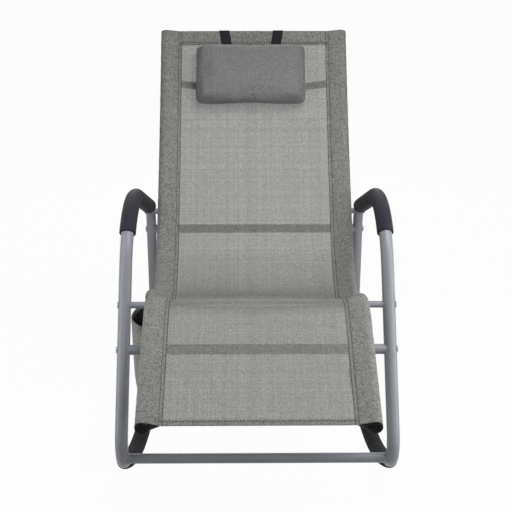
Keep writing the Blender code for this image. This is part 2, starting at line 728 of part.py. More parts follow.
def build_head_bar(sling):
    """Make the bowed bar that spreads the rails behind the head, and the slots it passes through."""
    distance = RAIL.length - HEAD_BAR_BELOW_TOP
    point, heading = RAIL.at(distance)
    bow_radius = (RAIL_HALF_SPACING ** 2 + HEAD_BAR_BOW ** 2) / (2 * HEAD_BAR_BOW)
    half_angle = math.asin(RAIL_HALF_SPACING / bow_radius)
    angles = [half_angle * (2 * index / HEAD_BAR_STEPS - 1) for index in range(HEAD_BAR_STEPS + 1)]
    points = []
    for angle in angles:
        sink = bow_radius * (1 - cos(angle)) - HEAD_BAR_BOW
        points.append(Vector((bow_radius * sin(angle), 0.0, sink)))
    bar = add_part("head_spreader_bar", swept_mesh("head_spreader_bar", points, HEAD_BAR_OD / 2, False),
                   SATIN_GREY_PAINT)
    slot_mesh = swept_mesh("head_bar_slot", points, HEAD_BAR_OD / 2 + SLOT_CLEARANCE, True)
    slot = add_cutter("head_bar_slot", slot_mesh)
    for piece in (bar, slot):
        piece.location = (0.0, point.x, point.y)
        piece.rotation_euler = (radians(heading), 0.0, 0.0)
    thicken(bar, CROSS_BAR_WALL, -1.0)
    reach = 2 * HEAD_BAR_OD
    for side in (LEFT, RIGHT):
        saddle_points = rail_points(side * RAIL_HALF_SPACING, distance - reach, distance + reach)
        cut(bar, solid_tube_cutter("head_bar_saddle_" + SIDE_NAMES[side], saddle_points,
                                   RAIL_OD / 2 + TOUCH_GAP))
    cut(sling, slot)


# Sling

def panel_offset(distance, x):
    """Return how far the panel lies off the rails' plane: tension flattens the bends between the rails."""
    before = RAIL.at(distance - SLING_SETTLE_SPAN)[1]
    after = RAIL.at(distance + SLING_SETTLE_SPAN)[1]
    curvature = radians(after - before) / (2 * SLING_SETTLE_SPAN)
    taut = SLING_SETTLE * curvature * (1 - (x / RAIL_HALF_SPACING) ** 2)
    return SLING_RADIUS - PANEL_BELOW_SLEEVE + taut


def sleeve_touch(offset, turn):
    """Return the angle where the cloth from the stitch line, at an offset, meets the rail's round."""
    reach = SLEEVE_WIDTH - SLING_RADIUS
    spread = math.degrees(math.acos(SLING_RADIUS / math.hypot(reach, offset)))
    return 180.0 - math.degrees(math.atan2(offset, reach)) + turn * spread


def sleeve_section():
    """Return one sleeve's section: from where it meets the rail's underside, round it and up to its top."""
    upper = SLING_RADIUS - PANEL_BELOW_SLEEVE
    touch = sleeve_touch(upper - SLING_THICKNESS - SLEEVE_FOLD_GAP, 1)
    top = 360.0 + sleeve_touch(upper, -1)
    turns = math.ceil((top - touch) / SLEEVE_STEP)
    section = []
    for index in range(turns + 1):
        angle = radians(touch + (top - touch) * index / turns)
        section.append((RAIL_HALF_SPACING + SLING_RADIUS * cos(angle), SLING_RADIUS * sin(angle)))
    return section


def build_sling():
    """Make the sling: one cloth folded round both rails and sewn back to itself."""
    sleeve = sleeve_section()
    stitch_x = RAIL_HALF_SPACING + SLING_RADIUS - SLEEVE_WIDTH
    fold = SLING_THICKNESS + SLEEVE_FOLD_GAP
    half_panel = [stitch_x, stitch_x * 0.5]
    panel = half_panel + [0.0] + [-x for x in reversed(half_panel)]
    first_panel = len(sleeve) + 1
    last_panel = first_panel + len(panel)
    columns = last_panel + len(sleeve)
    stops = RAIL.stops(SLING_FIRST, SLING_LAST)

    def section(column, distance):
        if column in (0, columns):
            side = RIGHT if column == 0 else LEFT
            return side * stitch_x, panel_offset(distance, stitch_x) - fold
        if column < first_panel:
            return sleeve[column - 1]
        if column < last_panel:
            x = panel[column - first_panel]
            return x, panel_offset(distance, x)
        x, offset = sleeve[columns - 1 - column]
        return -x, offset

    def place(column, row):
        x, offset = section(column, stops[row])
        point = RAIL.normal_point(stops[row], offset)
        return Vector((x, point.x, point.y))

    mesh = sheet_mesh("sling", columns, len(stops) - 1, place)
    sling = add_part("sling", mesh, GREY_MESH_CLOTH)
    thicken(sling, SLING_THICKNESS, 0.0)
    return sling


# Headrest pillow, straps and buckles

def pillow_frame():
    """Return the pillow's middle on the back and the back's heading there."""
    distance = SLING_LAST - PILLOW_BELOW_TOP - PILLOW_HEIGHT / 2
    return distance, RAIL.at(distance)[1]


def build_pillow():
    """Make the stuffed headrest: crowned in front, flat where it rests, drawn in between its corners."""
    distance, heading = pillow_frame()
    mesh = bpy.data.meshes.new("headrest_pillow")
    shape = bmesh.new()
    bmesh.ops.create_cube(shape, size=2.0)
    bmesh.ops.subdivide_edges(shape, edges=shape.edges, cuts=PILLOW_CUTS, use_grid_fill=True)
    for knot in shape.verts:
        across, up, out = knot.co
        corner = abs(across * up) ** 6
        draw_across = PILLOW_DRAW_IN * (1 - up ** 2) * abs(across) ** 3 + PILLOW_CORNER_CUT * corner
        draw_up = PILLOW_DRAW_IN * (1 - across ** 2) * abs(up) ** 3 + PILLOW_CORNER_CUT * corner
        swell = math.sqrt((1 - across ** 6) * (1 - up ** 4))
        front = PILLOW_EDGE / 2 + (PILLOW_DEPTH - PILLOW_EDGE - PILLOW_BACK) * swell
        back = PILLOW_EDGE / 2 + PILLOW_BACK * swell
        knot.co.x = across * (PILLOW_WIDTH / 2 - draw_across)
        knot.co.y = up * (PILLOW_HEIGHT / 2 - draw_up)
        knot.co.z = (front * (1 + out) - back * (1 - out)) / 2
    low = min(knot.co.z for knot in shape.verts)
    bmesh.ops.translate(shape, verts=shape.verts, vec=(0.0, 0.0, -low))
    shape.to_mesh(mesh)
    shape.free()
    pillow = add_part("headrest_pillow", mesh, GREY_MESH_CLOTH)
    strap_space = SLING_THICKNESS / 2 + STRAP_THICKNESS + 2 * TOUCH_GAP
    seat = panel_offset(distance, 0.0) + strap_space + PILLOW_LIFT
    point = RAIL.normal_point(distance, seat)
    pillow.location = (PILLOW_OFFSET_X, point.x, point.y)
    pillow.rotation_euler = (radians(heading), 0.0, 0.0)
    return pillow


def build_strap(side):
    """Make one strap, from behind the pillow over the top hem to its buckle on the back."""
    word = SIDE_NAMES[side]
    x = PILLOW_OFFSET_X + side * STRAP_SPACING / 2
    off = SLING_THICKNESS / 2 + TOUCH_GAP + STRAP_THICKNESS / 2
    line = [(distance, panel_offset(distance, x) + off) for distance in RAIL.stops(STRAP_FRONT, SLING_LAST)]
    hem = panel_offset(SLING_LAST, x)
    for index in range(1, STRAP_TURN_STEPS):
        angle = pi * index / STRAP_TURN_STEPS
        line.append((SLING_LAST + off * sin(angle), hem + off * cos(angle)))
    for distance in reversed(RAIL.stops(STRAP_BACK, SLING_LAST)):
        line.append((distance, panel_offset(distance, x) - off))
    bar_radius = BUCKLE_BAR / 2 * math.sqrt(2) + TOUCH_GAP + STRAP_THICKNESS / 2
    bar_centre = panel_offset(STRAP_BACK, x) - off - bar_radius
    for index in range(1, STRAP_TURN_STEPS):
        angle = pi * index / STRAP_TURN_STEPS
        line.append((STRAP_BACK - bar_radius * sin(angle), bar_centre + bar_radius * cos(angle)))
    line.append((STRAP_BACK, bar_centre - bar_radius))
    line.append((STRAP_BACK + BUCKLE_HEIGHT, bar_centre - bar_radius))

    def place(column, row):
        point = RAIL.normal_point(*line[row])
        return Vector((x + (column - 0.5) * STRAP_WIDTH, point.x, point.y))

    name = "pillow_strap_" + word
    strap = add_part(name, sheet_mesh(name, 1, len(line) - 1, place), BLACK_WEBBING)
    thicken(strap, STRAP_THICKNESS, 0.0)
    build_buckle(word, x, STRAP_BACK, bar_centre)


def build_buckle(word, x, distance, offset):
    """Make the buckle frame whose lower bar the strap turns round."""
    name = "strap_buckle_" + word
    point = RAIL.normal_point(distance, offset)
    heading = RAIL.at(distance)[1]
    mesh = bpy.data.meshes.new(name)
    shape = bmesh.new()
    bmesh.ops.create_cube(shape, size=1.0)
    scale = Matrix.Diagonal((BUCKLE_WIDTH, BUCKLE_HEIGHT, BUCKLE_THICKNESS, 1.0))
    lift = Matrix.Translation((0.0, BUCKLE_HEIGHT / 2 - BUCKLE_BAR / 2, 0.0))
    bmesh.ops.transform(shape, matrix=lift @ scale, verts=shape.verts)
    shape.to_mesh(mesh)
    shape.free()
    buckle = add_part(name, mesh, BLACK_PLASTIC)
    window_mesh = bpy.data.meshes.new(name + "_window")
    window_shape = bmesh.new()
    bmesh.ops.create_cube(window_shape, size=1.0)
    window_scale = Matrix.Diagonal((BUCKLE_WIDTH - 2 * BUCKLE_BAR, BUCKLE_HEIGHT - 2 * BUCKLE_BAR,
                                    3 * BUCKLE_THICKNESS, 1.0))
    bmesh.ops.transform(window_shape, matrix=lift @ window_scale, verts=window_shape.verts)
    window_shape.to_mesh(window_mesh)
    window_shape.free()
    window = add_cutter(name + "_window", window_mesh)
    for piece in (buckle, window):
        piece.location = (x, point.x, point.y)
        piece.rotation_euler = (radians(heading), 0.0, 0.0)
    cut(buckle, window)


# Side pocket

def rail_height(y):
    """Return the height of a rail's centre line at a place along the chair."""
    low = 0.0
    high = RAIL.length
    while high - low > SAME_PLACE:
        middle = (low + high) / 2
        if RAIL.at(middle)[0].x < y:
            low = middle
        else:
            high = middle
    return RAIL.at(low)[0].y


def build_pocket():
    """Make the pocket on the left rail: flat against the sleeve, bulging outwards, open on top."""
    inner_x = -(RAIL_HALF_SPACING + SLING_RADIUS + SLING_THICKNESS / 2 + POCKET_STANDOFF + POCKET_WALL / 2)
    lip = rail_height(POCKET_FRONT_Y) - POCKET_LIP_DROP

    def place(column, row):
        angle = 2 * pi * column / POCKET_COLUMNS
        depth = row / POCKET_ROWS
        along = (1 - cos(angle)) / 2
        shorten = POCKET_TAPER * depth ** 2 * cos(angle)
        y = POCKET_FRONT_Y + POCKET_LENGTH * along + shorten
        swell = sin(pi * along ** POCKET_BULGE_FORWARD)
        outward = max(0.0, sin(angle))
        inner_top = rail_height(POCKET_FRONT_Y + POCKET_LENGTH * along)
        top = lip if outward > 0.0 else min(lip, inner_top)
        bulge = POCKET_BULGE * swell * math.sqrt(1 - depth ** 4) if outward > 0.0 else 0.0
        x = inner_x - bulge
        if row == POCKET_ROWS:
            x = inner_x - POCKET_BULGE * POCKET_BOTTOM_PINCH * swell
        return Vector((x, y, top - (top - lip + POCKET_DEPTH) * depth))

    mesh = sheet_mesh("side_pocket", POCKET_COLUMNS, POCKET_ROWS, place, closed=True)
    pocket = add_part("side_pocket", mesh, GREY_MESH_CLOTH)
    thicken(pocket, POCKET_WALL, 0.0, even=False)
    return pocket


def build_chair():
    """Build every piece of the chair."""
    sling = build_sling()
    main_tubes = {}
    rear_tubes = {}
    for side in (LEFT, RIGHT):
        main_tubes[side], rear_tubes[side] = build_side_frame(side)
    front_bar_at = loop_place_at_height(FRONT_BAR_HEIGHT, LOOP_AT["upright"], LOOP_AT["elbow"])
    rear_bar_at = loop_place_at_height(REAR_BAR_HEIGHT, LOOP_AT["rear_leg"], LOOP_AT["rear_bend"])
    elbow_length = LOOP_AT["runner"] - LOOP_AT["elbow"]
    floor_bar_at = LOOP_AT["elbow"] + FLOOR_BAR_ROUND_ELBOW * elbow_length
    build_bar("front_floor_bar", main_tubes, SIDE_TUBE_OD, floor_bar_at, FLOOR_BAR_OD, False)
    build_bar("front_cross_bar", main_tubes, SIDE_TUBE_OD, front_bar_at, CROSS_BAR_OD, True)
    build_bar("rear_cross_bar", rear_tubes, REAR_TUBE_OD, rear_bar_at, CROSS_BAR_OD, True)
    knee_height = RAIL.at(RAIL_AT["knee_bolt"])[0].y
    knee_at = loop_place_at_height(knee_height, LOOP_AT["upright"], LOOP_AT["elbow"])
    arm_at = (LOOP_AT["rear_bend"] + LOOP_AT["close"]) / 2
    for side in (LEFT, RIGHT):
        rail = build_rail(side)
        build_rail_joint("knee", side, main_tubes[side], SIDE_TUBE_OD, rail, sling, knee_at,
                         RAIL_AT["knee_bolt"])
        build_rail_joint("arm", side, rear_tubes[side], REAR_TUBE_OD, rail, sling, arm_at,
                         RAIL_AT["arm_bolt"])
    build_head_bar(sling)
    build_pillow()
    for side in (LEFT, RIGHT):
        build_strap(side)
    build_pocket()


build_chair()
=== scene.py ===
"""Dressed model of an outdoor rocking chair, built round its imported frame.

The chair faces -Y and rests on z = 0. Lengths are in metres and angles in degrees.
"""

import json
import logging
import math
from contextlib import contextmanager
from dataclasses import dataclass, field
from enum import Enum
from itertools import accumulate
from math import cos, degrees, pi, radians, sin, tan
from typing import Callable, Iterator, Sequence

import bmesh
import bpy
from bpy.types import Material, Mesh, Node, NodeSocket, NodeTree, Object
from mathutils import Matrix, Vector

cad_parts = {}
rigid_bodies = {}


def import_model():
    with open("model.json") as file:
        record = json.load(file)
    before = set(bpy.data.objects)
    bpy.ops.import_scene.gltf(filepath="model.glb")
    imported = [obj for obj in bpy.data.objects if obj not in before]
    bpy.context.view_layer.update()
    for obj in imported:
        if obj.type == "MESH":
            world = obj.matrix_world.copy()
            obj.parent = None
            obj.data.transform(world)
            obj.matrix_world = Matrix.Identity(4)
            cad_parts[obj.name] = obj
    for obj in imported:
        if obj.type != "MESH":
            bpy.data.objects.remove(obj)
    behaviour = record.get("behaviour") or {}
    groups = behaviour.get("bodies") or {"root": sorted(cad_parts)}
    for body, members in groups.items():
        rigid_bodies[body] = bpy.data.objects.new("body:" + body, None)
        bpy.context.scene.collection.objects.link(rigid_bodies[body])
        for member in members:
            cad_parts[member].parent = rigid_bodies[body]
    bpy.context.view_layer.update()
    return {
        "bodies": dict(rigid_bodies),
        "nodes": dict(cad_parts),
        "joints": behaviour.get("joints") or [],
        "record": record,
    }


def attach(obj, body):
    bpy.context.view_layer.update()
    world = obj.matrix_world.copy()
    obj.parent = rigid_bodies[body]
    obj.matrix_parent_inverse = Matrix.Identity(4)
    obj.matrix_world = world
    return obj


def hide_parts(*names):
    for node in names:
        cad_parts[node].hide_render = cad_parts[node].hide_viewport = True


LOG = logging.getLogger("rocking_chair")
CHAIR_BODY = "chair"
HEADREST_BODY = "headrest"
WEAVE_UV = "weave"
DOUBLE_MAP = "double"
# mark of a pocket's inner wall, which the cloth darkens as painted shade
PAINTED_SHADE_MAP = "inside"
SOFT_EDGE = 80.0
STRAP_WIDTH = 0.026
MERGE = 0.00002
LONG_WAVE, MIDDLE_WAVE, SHORT_WAVE = 0.117, 0.041, 0.0235
ACROSS = Vector((1.0, 0.0, 0.0))
UP = Vector((0.0, 0.0, 1.0))
WHITE = (1.0, 1.0, 1.0)
Colour = tuple[float, float, float]
Pair = tuple[float, float]
Line = list[Vector]
Axes = tuple[Vector, Vector, Vector]
Frame = Callable[[float], Axes]


class Side(Enum):
    """Which side of the chair, as seen from the front."""

    LEFT = -1
    RIGHT = 1

    @property
    def word(self) -> str:
        """Return the side's name in lower case."""
        return self.name.lower()


# Nodes

def math_method(operation: str, turned: bool = False) -> Callable[..., "Sock"]:
    """Return a method of Sock that adds one Math node.

    Args:
        operation: The Math node's operation.
        turned: Whether the other value comes first.

    Returns:
        The method, which takes the other values.
    """
    def method(sock: "Sock", *others: object) -> "Sock":
        """Return the result of the Math node."""
        values = (*others, sock) if turned else (sock, *others)
        node = add_node(sock.tree, "ShaderNodeMath", {"operation": operation}, dict(enumerate(values)))
        return Sock(sock.tree, node.outputs[0])

    return method


class Sock:
    """A shader socket that takes part in arithmetic."""

    __add__ = math_method("ADD")
    __radd__ = math_method("ADD", turned=True)
    __sub__ = math_method("SUBTRACT")
    __rsub__ = math_method("SUBTRACT", turned=True)
    __mul__ = math_method("MULTIPLY")
    __rmul__ = math_method("MULTIPLY", turned=True)
    __gt__ = math_method("GREATER_THAN")
    __abs__ = math_method("ABSOLUTE")
    fraction = math_method("FRACT")
    floor = math_method("FLOOR")
    sine = math_method("SINE")
    larger = math_method("MAXIMUM")

    def __init__(self, tree: NodeTree, socket: NodeSocket) -> None:
        """Keep the node tree and the socket."""
        self.tree = tree
        self.socket = socket

    def smooth(self, low: float, high: float) -> "Sock":
        """Return a soft step from 0 at low to 1 at high."""
        node = add_node(self.tree, "ShaderNodeMapRange", {"interpolation_type": "SMOOTHSTEP"},
                        {"Value": self, "From Min": low, "From Max": high})
        return Sock(self.tree, node.outputs[0])


def feed(tree: NodeTree, entry: NodeSocket, value: object) -> None:
    """Link a socket to an input, or set the input's own value.

    Args:
        tree: The node tree that holds both.
        entry: The input to fill.
        value: A socket, plain or wrapped, a number, a colour, a vector or a name.
    """
    if isinstance(value, Sock):
        value = value.socket
    if isinstance(value, NodeSocket):
        tree.links.new(value, entry)
    else:
        entry.default_value = (*value, 1.0) if entry.type == "RGBA" else value


def pick(sockets: Sequence, key: str | int) -> NodeSocket:
    """Return a socket by index, identifier or name."""
    found = [socket for socket in sockets if socket.identifier == key]
    return found[0] if found else sockets[key]


def add_node(tree: NodeTree, kind: str, settings: dict | None = None, links: dict | None = None) -> Node:
    """Add any node to a tree.

    Args:
        tree: The node tree.
        kind: The node's type.
        settings: Its properties, set first.
        links: Values or sockets for its inputs, by index, identifier or name.

    Returns:
        The node.
    """
    node = tree.nodes.new(kind)
    for name, value in (settings or {}).items():
        setattr(node, name, value)
    for key, value in (links or {}).items():
        feed(tree, pick(node.inputs, key), value)
    return node


class FinishNodes:
    """The node tree of one finish while it is built."""

    def __init__(self, name: str) -> None:
        """Start an empty material with a name."""
        self.material = bpy.data.materials.new(name)
        self.material.use_nodes = True
        self.tree = self.material.node_tree
        self.tree.nodes.clear()

    def add(self, kind: str, settings: dict | None = None, links: dict | None = None,
            out: str | int = 0) -> Sock | None:
        """Add any node and return one of its outputs, or None where it has none."""
        node = add_node(self.tree, kind, settings, links)
        return Sock(self.tree, pick(node.outputs, out)) if node.outputs else None

    def place(self) -> Sock:
        """Return the piece's own coordinates."""
        return self.add("ShaderNodeTexCoord", out="Object")

    def weave(self) -> tuple[Sock, Sock, Sock]:
        """Return the place on the flat cloth, and its two parts across and along."""
        uv = self.add("ShaderNodeUVMap", {"uv_map": WEAVE_UV})
        return uv, *(self.add("ShaderNodeSeparateXYZ", {}, {"Vector": uv}, axis) for axis in "XY")

    def mark(self, name: str) -> Sock:
        """Return a share that is stored on the piece's points."""
        return self.add("ShaderNodeAttribute", {"attribute_name": name}, {}, "Fac")

    def noise(self, vector: Sock, scale: float, detail: float = 2.0) -> Sock:
        """Return soft noise about 0.5."""
        return self.add("ShaderNodeTexNoise", {"noise_dimensions": "3D"},
                        {"Vector": vector, "Scale": scale, "Detail": detail}, "Fac")

    def stretched(self, vector: Sock, *scale: float) -> Sock:
        """Return coordinates scaled differently along each axis."""
        return self.add("ShaderNodeMapping", {}, {"Vector": vector, "Scale": scale})

    def close(self, colour: Colour, tone: Sock, relief: tuple[Sock, float, float], **links: object) -> Material:
        """Add the surface shader and return the material.

        Args:
            colour: The base colour.
            tone: The factor about 1 that makes it darker or lighter.
            relief: Height, strength and distance of the bump.
            links: Other values or sockets of the shader, with spaces in a name written as _.

        Returns:
            The finished material.
        """
        grey = self.add("ShaderNodeCombineColor", {}, dict.fromkeys(("Red", "Green", "Blue"), tone))
        shaded = self.add("ShaderNodeMix", {"data_type": "RGBA", "blend_type": "MULTIPLY"},
                          {"Factor_Float": 1.0, "A_Color": colour, "B_Color": grey}, "Result_Color")
        bump = self.add("ShaderNodeBump", {}, dict(zip(("Height", "Strength", "Distance"), relief)))
        named = {name.replace("_", " "): value for name, value in links.items()}
        surface = self.add("ShaderNodeBsdfPrincipled", {}, {"Base Color": shaded, "Normal": bump, **named})
        self.add("ShaderNodeOutputMaterial", {}, {"Surface": surface})
        return self.material


# Finishes

@dataclass(frozen=True)
class SatinPaint:
    """Powder-coated tube with a fine grain."""

    name: str
    colour: Colour
    roughness: float = 0.28
    metallic: float = 0.05
    gloss: float = 0.20
    grain: float = 900.0
    cloud: float = 14.0
    wear: float = 160.0
    relief: float = 0.0004

    def make(self) -> Material:
        """Return the material."""
        nodes = FinishNodes(self.name)
        place = nodes.place()
        fine = nodes.noise(place, self.grain)
        cloud = nodes.noise(place, self.cloud, 4.0)
        wear = nodes.noise(place, self.wear, 5.0)
        tone = 0.94 + 0.07 * cloud + 0.06 * fine
        rough = self.roughness + 0.07 * cloud + 0.10 * wear * wear
        return nodes.close(self.colour, tone, (fine + 0.4 * wear, 0.10, self.relief), Roughness=rough,
                           Metallic=self.metallic, Specular_IOR_Level=self.gloss)


@dataclass(frozen=True)
class FoamRubber:
    """Closed-cell foam with small pores and a dusty bloom."""

    name: str
    colour: Colour
    roughness: float = 0.52
    pore: float = 700.0
    depth: float = 0.45
    gloss: float = 0.09
    bloom: float = 22.0
    relief: float = 0.0006

    def make(self) -> Material:
        """Return the material."""
        nodes = FinishNodes(self.name)
        place = nodes.place()
        cells = nodes.add("ShaderNodeTexVoronoi", {"feature": "F1"},
                          {"Vector": place, "Scale": self.pore, "Randomness": 1.0}, "Distance")
        bloom = nodes.noise(place, self.bloom, 4.0)
        pits = cells.smooth(0.10, 0.55)
        # painted shade in the pores' hollows (pits); the dusty bloom is the foam's own lighter tone
        tone = 0.72 + 0.30 * pits + 0.24 * bloom
        return nodes.close(self.colour, tone, (pits + 0.5 * bloom, self.depth, self.relief),
                           Roughness=self.roughness + 0.16 * bloom, Specular_IOR_Level=self.gloss)


@dataclass(frozen=True)
class MouldedPlastic:
    """Moulded black plastic with a fine spark grain and rubbed patches."""

    name: str
    colour: Colour
    roughness: float = 0.38
    gloss: float = 0.06
    grain: float = 1500.0
    rub: float = 60.0
    relief: float = 0.0003

    def make(self) -> Material:
        """Return the material."""
        nodes = FinishNodes(self.name)
        place = nodes.place()
        fine = nodes.noise(place, self.grain)
        rub = nodes.noise(place, self.rub, 5.0)
        return nodes.close(self.colour, 0.82 + 0.34 * rub, (fine + 0.4 * rub, 0.16, self.relief),
                           Roughness=self.roughness + 0.18 * rub, Specular_IOR_Level=self.gloss)


@dataclass(frozen=True)
class ZincSteel:
    """Bright zinc plate with turning marks."""

    name: str
    colour: Colour
    roughness: float = 0.24
    metallic: float = 0.9
    cloud: float = 120.0
    relief: float = 0.0002

    def make(self) -> Material:
        """Return the material."""
        nodes = FinishNodes(self.name)
        place = nodes.place()
        marks = nodes.noise(nodes.stretched(place, 300.0, 2600.0, 2600.0), 1.0, 3.0)
        cloud = nodes.noise(place, self.cloud, 3.0)
        return nodes.close(self.colour, 0.86 + 0.24 * cloud, (marks, 0.12, self.relief), Metallic=self.metallic,
                           Roughness=self.roughness + 0.14 * marks)


@dataclass(frozen=True)
class MeshCloth:
    """Coated mesh cloth: a plain weave of coarse yarns with open squares between them.

    Where the piece's double map is 1, two layers lie on each other: closed and speckled. The tone is darker in the low
    places between the yarns: painted shade.
    """

    name: str
    colour: Colour
    pitch: float = 0.0021
    yarn: float = 0.46
    open_share: float = 0.85
    roughness: float = 0.66
    melange: float = 0.62
    streak: float = 0.055
    speckle: float = 0.50
    gloss: float = 0.25
    run: float = 0.8
    skew: float = 0.3
    cloud: float = 9.0

    def make(self) -> Material:
        """Return the material, which reads the piece's weave map in metres."""
        nodes = FinishNodes(self.name)
        uv, x, y = nodes.weave()
        # painted shade: where the inside mark is 1 the tone is darkened by 90 per cent, as inside the pocket
        double, inside = nodes.mark(DOUBLE_MAP), nodes.mark(PAINTED_SHADE_MAP)
        across, along = x * (1.0 / self.pitch), y * (1.0 / self.pitch)
        half = self.yarn / 2
        off_warp = abs(across.fraction() - 0.5)
        off_weft = abs(along.fraction() - 0.5)
        warp = 1.0 - off_warp.smooth(0.0, half * 1.05)
        weft = 1.0 - off_weft.smooth(0.0, half * 1.05)
        over = (across * pi).sine() * (along * pi).sine()
        height = (warp * (0.65 + 0.35 * over)).larger(weft * (0.65 - 0.35 * over))
        knots = self.dice(nodes, across, along)
        streaks = self.streak * (self.dice(nodes, across * self.run, 3.0) + self.dice(nodes, 7.0, along * self.run))
        layer = self.dice(nodes, across * self.run + along * self.skew, along * self.run - across * self.skew)
        window = (off_warp > half) * (off_weft > half) * (1.0 - double)
        hole = window * (self.open_share + streaks)
        cloud = nodes.noise(nodes.stretched(uv, self.cloud, self.cloud, 1.0), 1.0, 3.0)
        mottle = self.melange * knots + streaks + 0.10 * (cloud - 0.5)
        # painted shade: the tone falls from the yarn tops (0.62 + 0.40 * height) to the gaps between the yarns
        tone = (0.62 + 0.40 * height) * (1.0 + mottle + double * (self.speckle * layer)) * (1.0 - 0.9 * inside)
        return nodes.close(self.colour, tone, (height, 0.55, self.pitch * 0.3), Specular_IOR_Level=self.gloss,
                           Roughness=self.roughness + 0.12 * (cloud - 0.5), Alpha=1.0 - hole)

    @staticmethod
    def dice(nodes: FinishNodes, *values: Sock | float) -> Sock:
        """Return a fixed chance value from -0.5 to 0.5 for the whole parts of a pair of values."""
        whole = [value.floor() if isinstance(value, Sock) else value for value in values]
        pair = nodes.add("ShaderNodeCombineXYZ", {}, dict(zip("XY", whole)))
        return nodes.add("ShaderNodeTexWhiteNoise", {"noise_dimensions": "2D"}, {"Vector": pair}, "Value") - 0.5


@dataclass(frozen=True)
class Webbing:
    """Narrow woven strap: ribs across, a firm selvedge at each edge."""

    name: str
    colour: Colour
    width: float
    rib: float = 0.0016
    cord: float = 0.0022
    zigzag: float = 700.0
    fuzz: float = 900.0
    roughness: float = 0.66
    gloss: float = 0.06
    relief: float = 0.0005

    def make(self) -> Material:
        """Return the material, which reads the strap's weave map in metres."""
        nodes = FinishNodes(self.name)
        uv, across, along = nodes.weave()
        wander = 0.3 * abs((across * self.zigzag).fraction() - 0.5) * self.rib
        ribs = ((along + wander) * (2 * pi / self.rib)).sine()
        cords = (across * (2 * pi / self.cord)).sine()
        edge = abs(across).smooth(self.width * 0.42, self.width * 0.46)
        fuzz = nodes.noise(nodes.stretched(uv, self.fuzz, self.fuzz, 1.0), 1.0, 3.0)
        height = 0.5 + 0.28 * ribs + 0.18 * cords + 0.3 * edge
        # painted shade: the tone follows the height, darker in the grooves between ribs and cords and lighter on the
        # raised selvedge; the fuzz is the strap's own tone
        return nodes.close(self.colour, 0.55 + 0.55 * height + 0.5 * fuzz * fuzz, (height, 0.6, self.relief),
                           Roughness=self.roughness + 0.2 * (fuzz - 0.5), Specular_IOR_Level=self.gloss)


@dataclass(frozen=True)
class Thread:
    """Twisted sewing thread."""

    name: str
    colour: Colour
    roughness: float = 0.6
    relief: float = 0.0002

    def make(self) -> Material:
        """Return the material."""
        nodes = FinishNodes(self.name)
        twist = nodes.noise(nodes.stretched(nodes.place(), 2600.0, 1400.0, 2600.0), 1.0)
        return nodes.close(self.colour, 0.7 + 0.6 * twist, (twist, 0.3, self.relief),
                           Roughness=self.roughness + 0.2 * twist)


# Paths of the bent tubes

def ray(angle: float) -> Vector:
    """Return the direction of a heading in the side plane."""
    return Vector((cos(radians(angle)), sin(radians(angle))))


def leftward(angle: float) -> Vector:
    """Return the direction to the left of a heading in the side plane."""
    return Vector((-sin(radians(angle)), cos(radians(angle))))


def spaced(first: float, last: float, steps: int) -> list[float]:
    """Return evenly spaced values from first to last."""
    return [first + (last - first) * index / steps for index in range(steps + 1)]


def running(line: Line) -> list[float]:
    """Return the distance travelled along a line at each of its points."""
    return list(accumulate(((after - here).length for here, after in zip(line, line[1:])), initial=0.0))


@dataclass
class Run:
    """One straight run or round bend of a path."""

    begin: float
    length: float
    start: Vector
    heading: float
    turn: float

    def walk(self, travelled: float) -> tuple[Vector, float]:
        """Return the point and the heading after some travel."""
        if self.turn == 0.0:
            return self.start + travelled * ray(self.heading), self.heading
        swept = self.turn * travelled / self.length
        first, last = radians(self.heading), radians(self.heading + swept)
        step = Vector((sin(last) - sin(first), cos(first) - cos(last)))
        return self.start + self.length / radians(self.turn) * step, self.heading + swept


class BentPath:
    """Centre line of a bent tube in a vertical plane."""

    BEND_STEP = 3.0
    LONG_STEP = 0.012
    LEAST_STEP = 0.001

    def __init__(self, start: Sequence[float], heading: float) -> None:
        """Start at a point with a heading."""
        self.point = Vector(start)
        self.heading = heading
        self.runs: list[Run] = []
        self.length = 0.0

    def add(self, length: float, turn: float = 0.0) -> float:
        """Append one run.

        Args:
            length: Its length.
            turn: The angle that it turns to the left, 0 where it is straight.

        Returns:
            The distance where it starts.
        """
        begin = self.length
        self.runs.append(Run(begin, length, self.point.copy(), self.heading, turn))
        self.length += length
        self.point, self.heading = self.runs[-1].walk(length)
        return begin

    def turn(self, radius: float, angle: float) -> float:
        """Append a bend, to the left for a positive angle, and return the distance where it starts."""
        return self.add(radius * radians(abs(angle)), angle)

    def at(self, distance: float) -> tuple[Vector, float]:
        """Return the point and heading at a distance, also a little past the ends."""
        run = [run for run in self.runs if run.begin <= distance or run is self.runs[0]][-1]
        return run.walk(distance - run.begin)

    def offset(self, distance: float, left: float) -> Vector:
        """Return the point at an offset to the left of the path."""
        point, heading = self.at(distance)
        return point + left * leftward(heading)

    def stops(self, first: float, last: float) -> list[float]:
        """Space out distances, close together in the bends.

        Args:
            first: The first distance.
            last: The last one.

        Returns:
            The distances in order.
        """
        found = {first, last}
        for run in self.runs:
            steps = 1
            if run.turn != 0.0:
                steps = max(2, math.ceil(abs(run.turn) / self.BEND_STEP), math.ceil(run.length / self.LONG_STEP))
            places = [run.begin + run.length * index / steps for index in range(steps)]
            found.update(place for place in places if first + self.LEAST_STEP < place < last - self.LEAST_STEP)
        return sorted(found)


def crossing(point_a: Vector, angle_a: float, point_b: Vector, angle_b: float) -> Vector:
    """Return where two lines in the side plane cross, each given by a point and a heading."""
    along_a, along_b = ray(angle_a), ray(angle_b)
    return point_a + (point_b - point_a).cross(along_b) / along_a.cross(along_b) * along_a


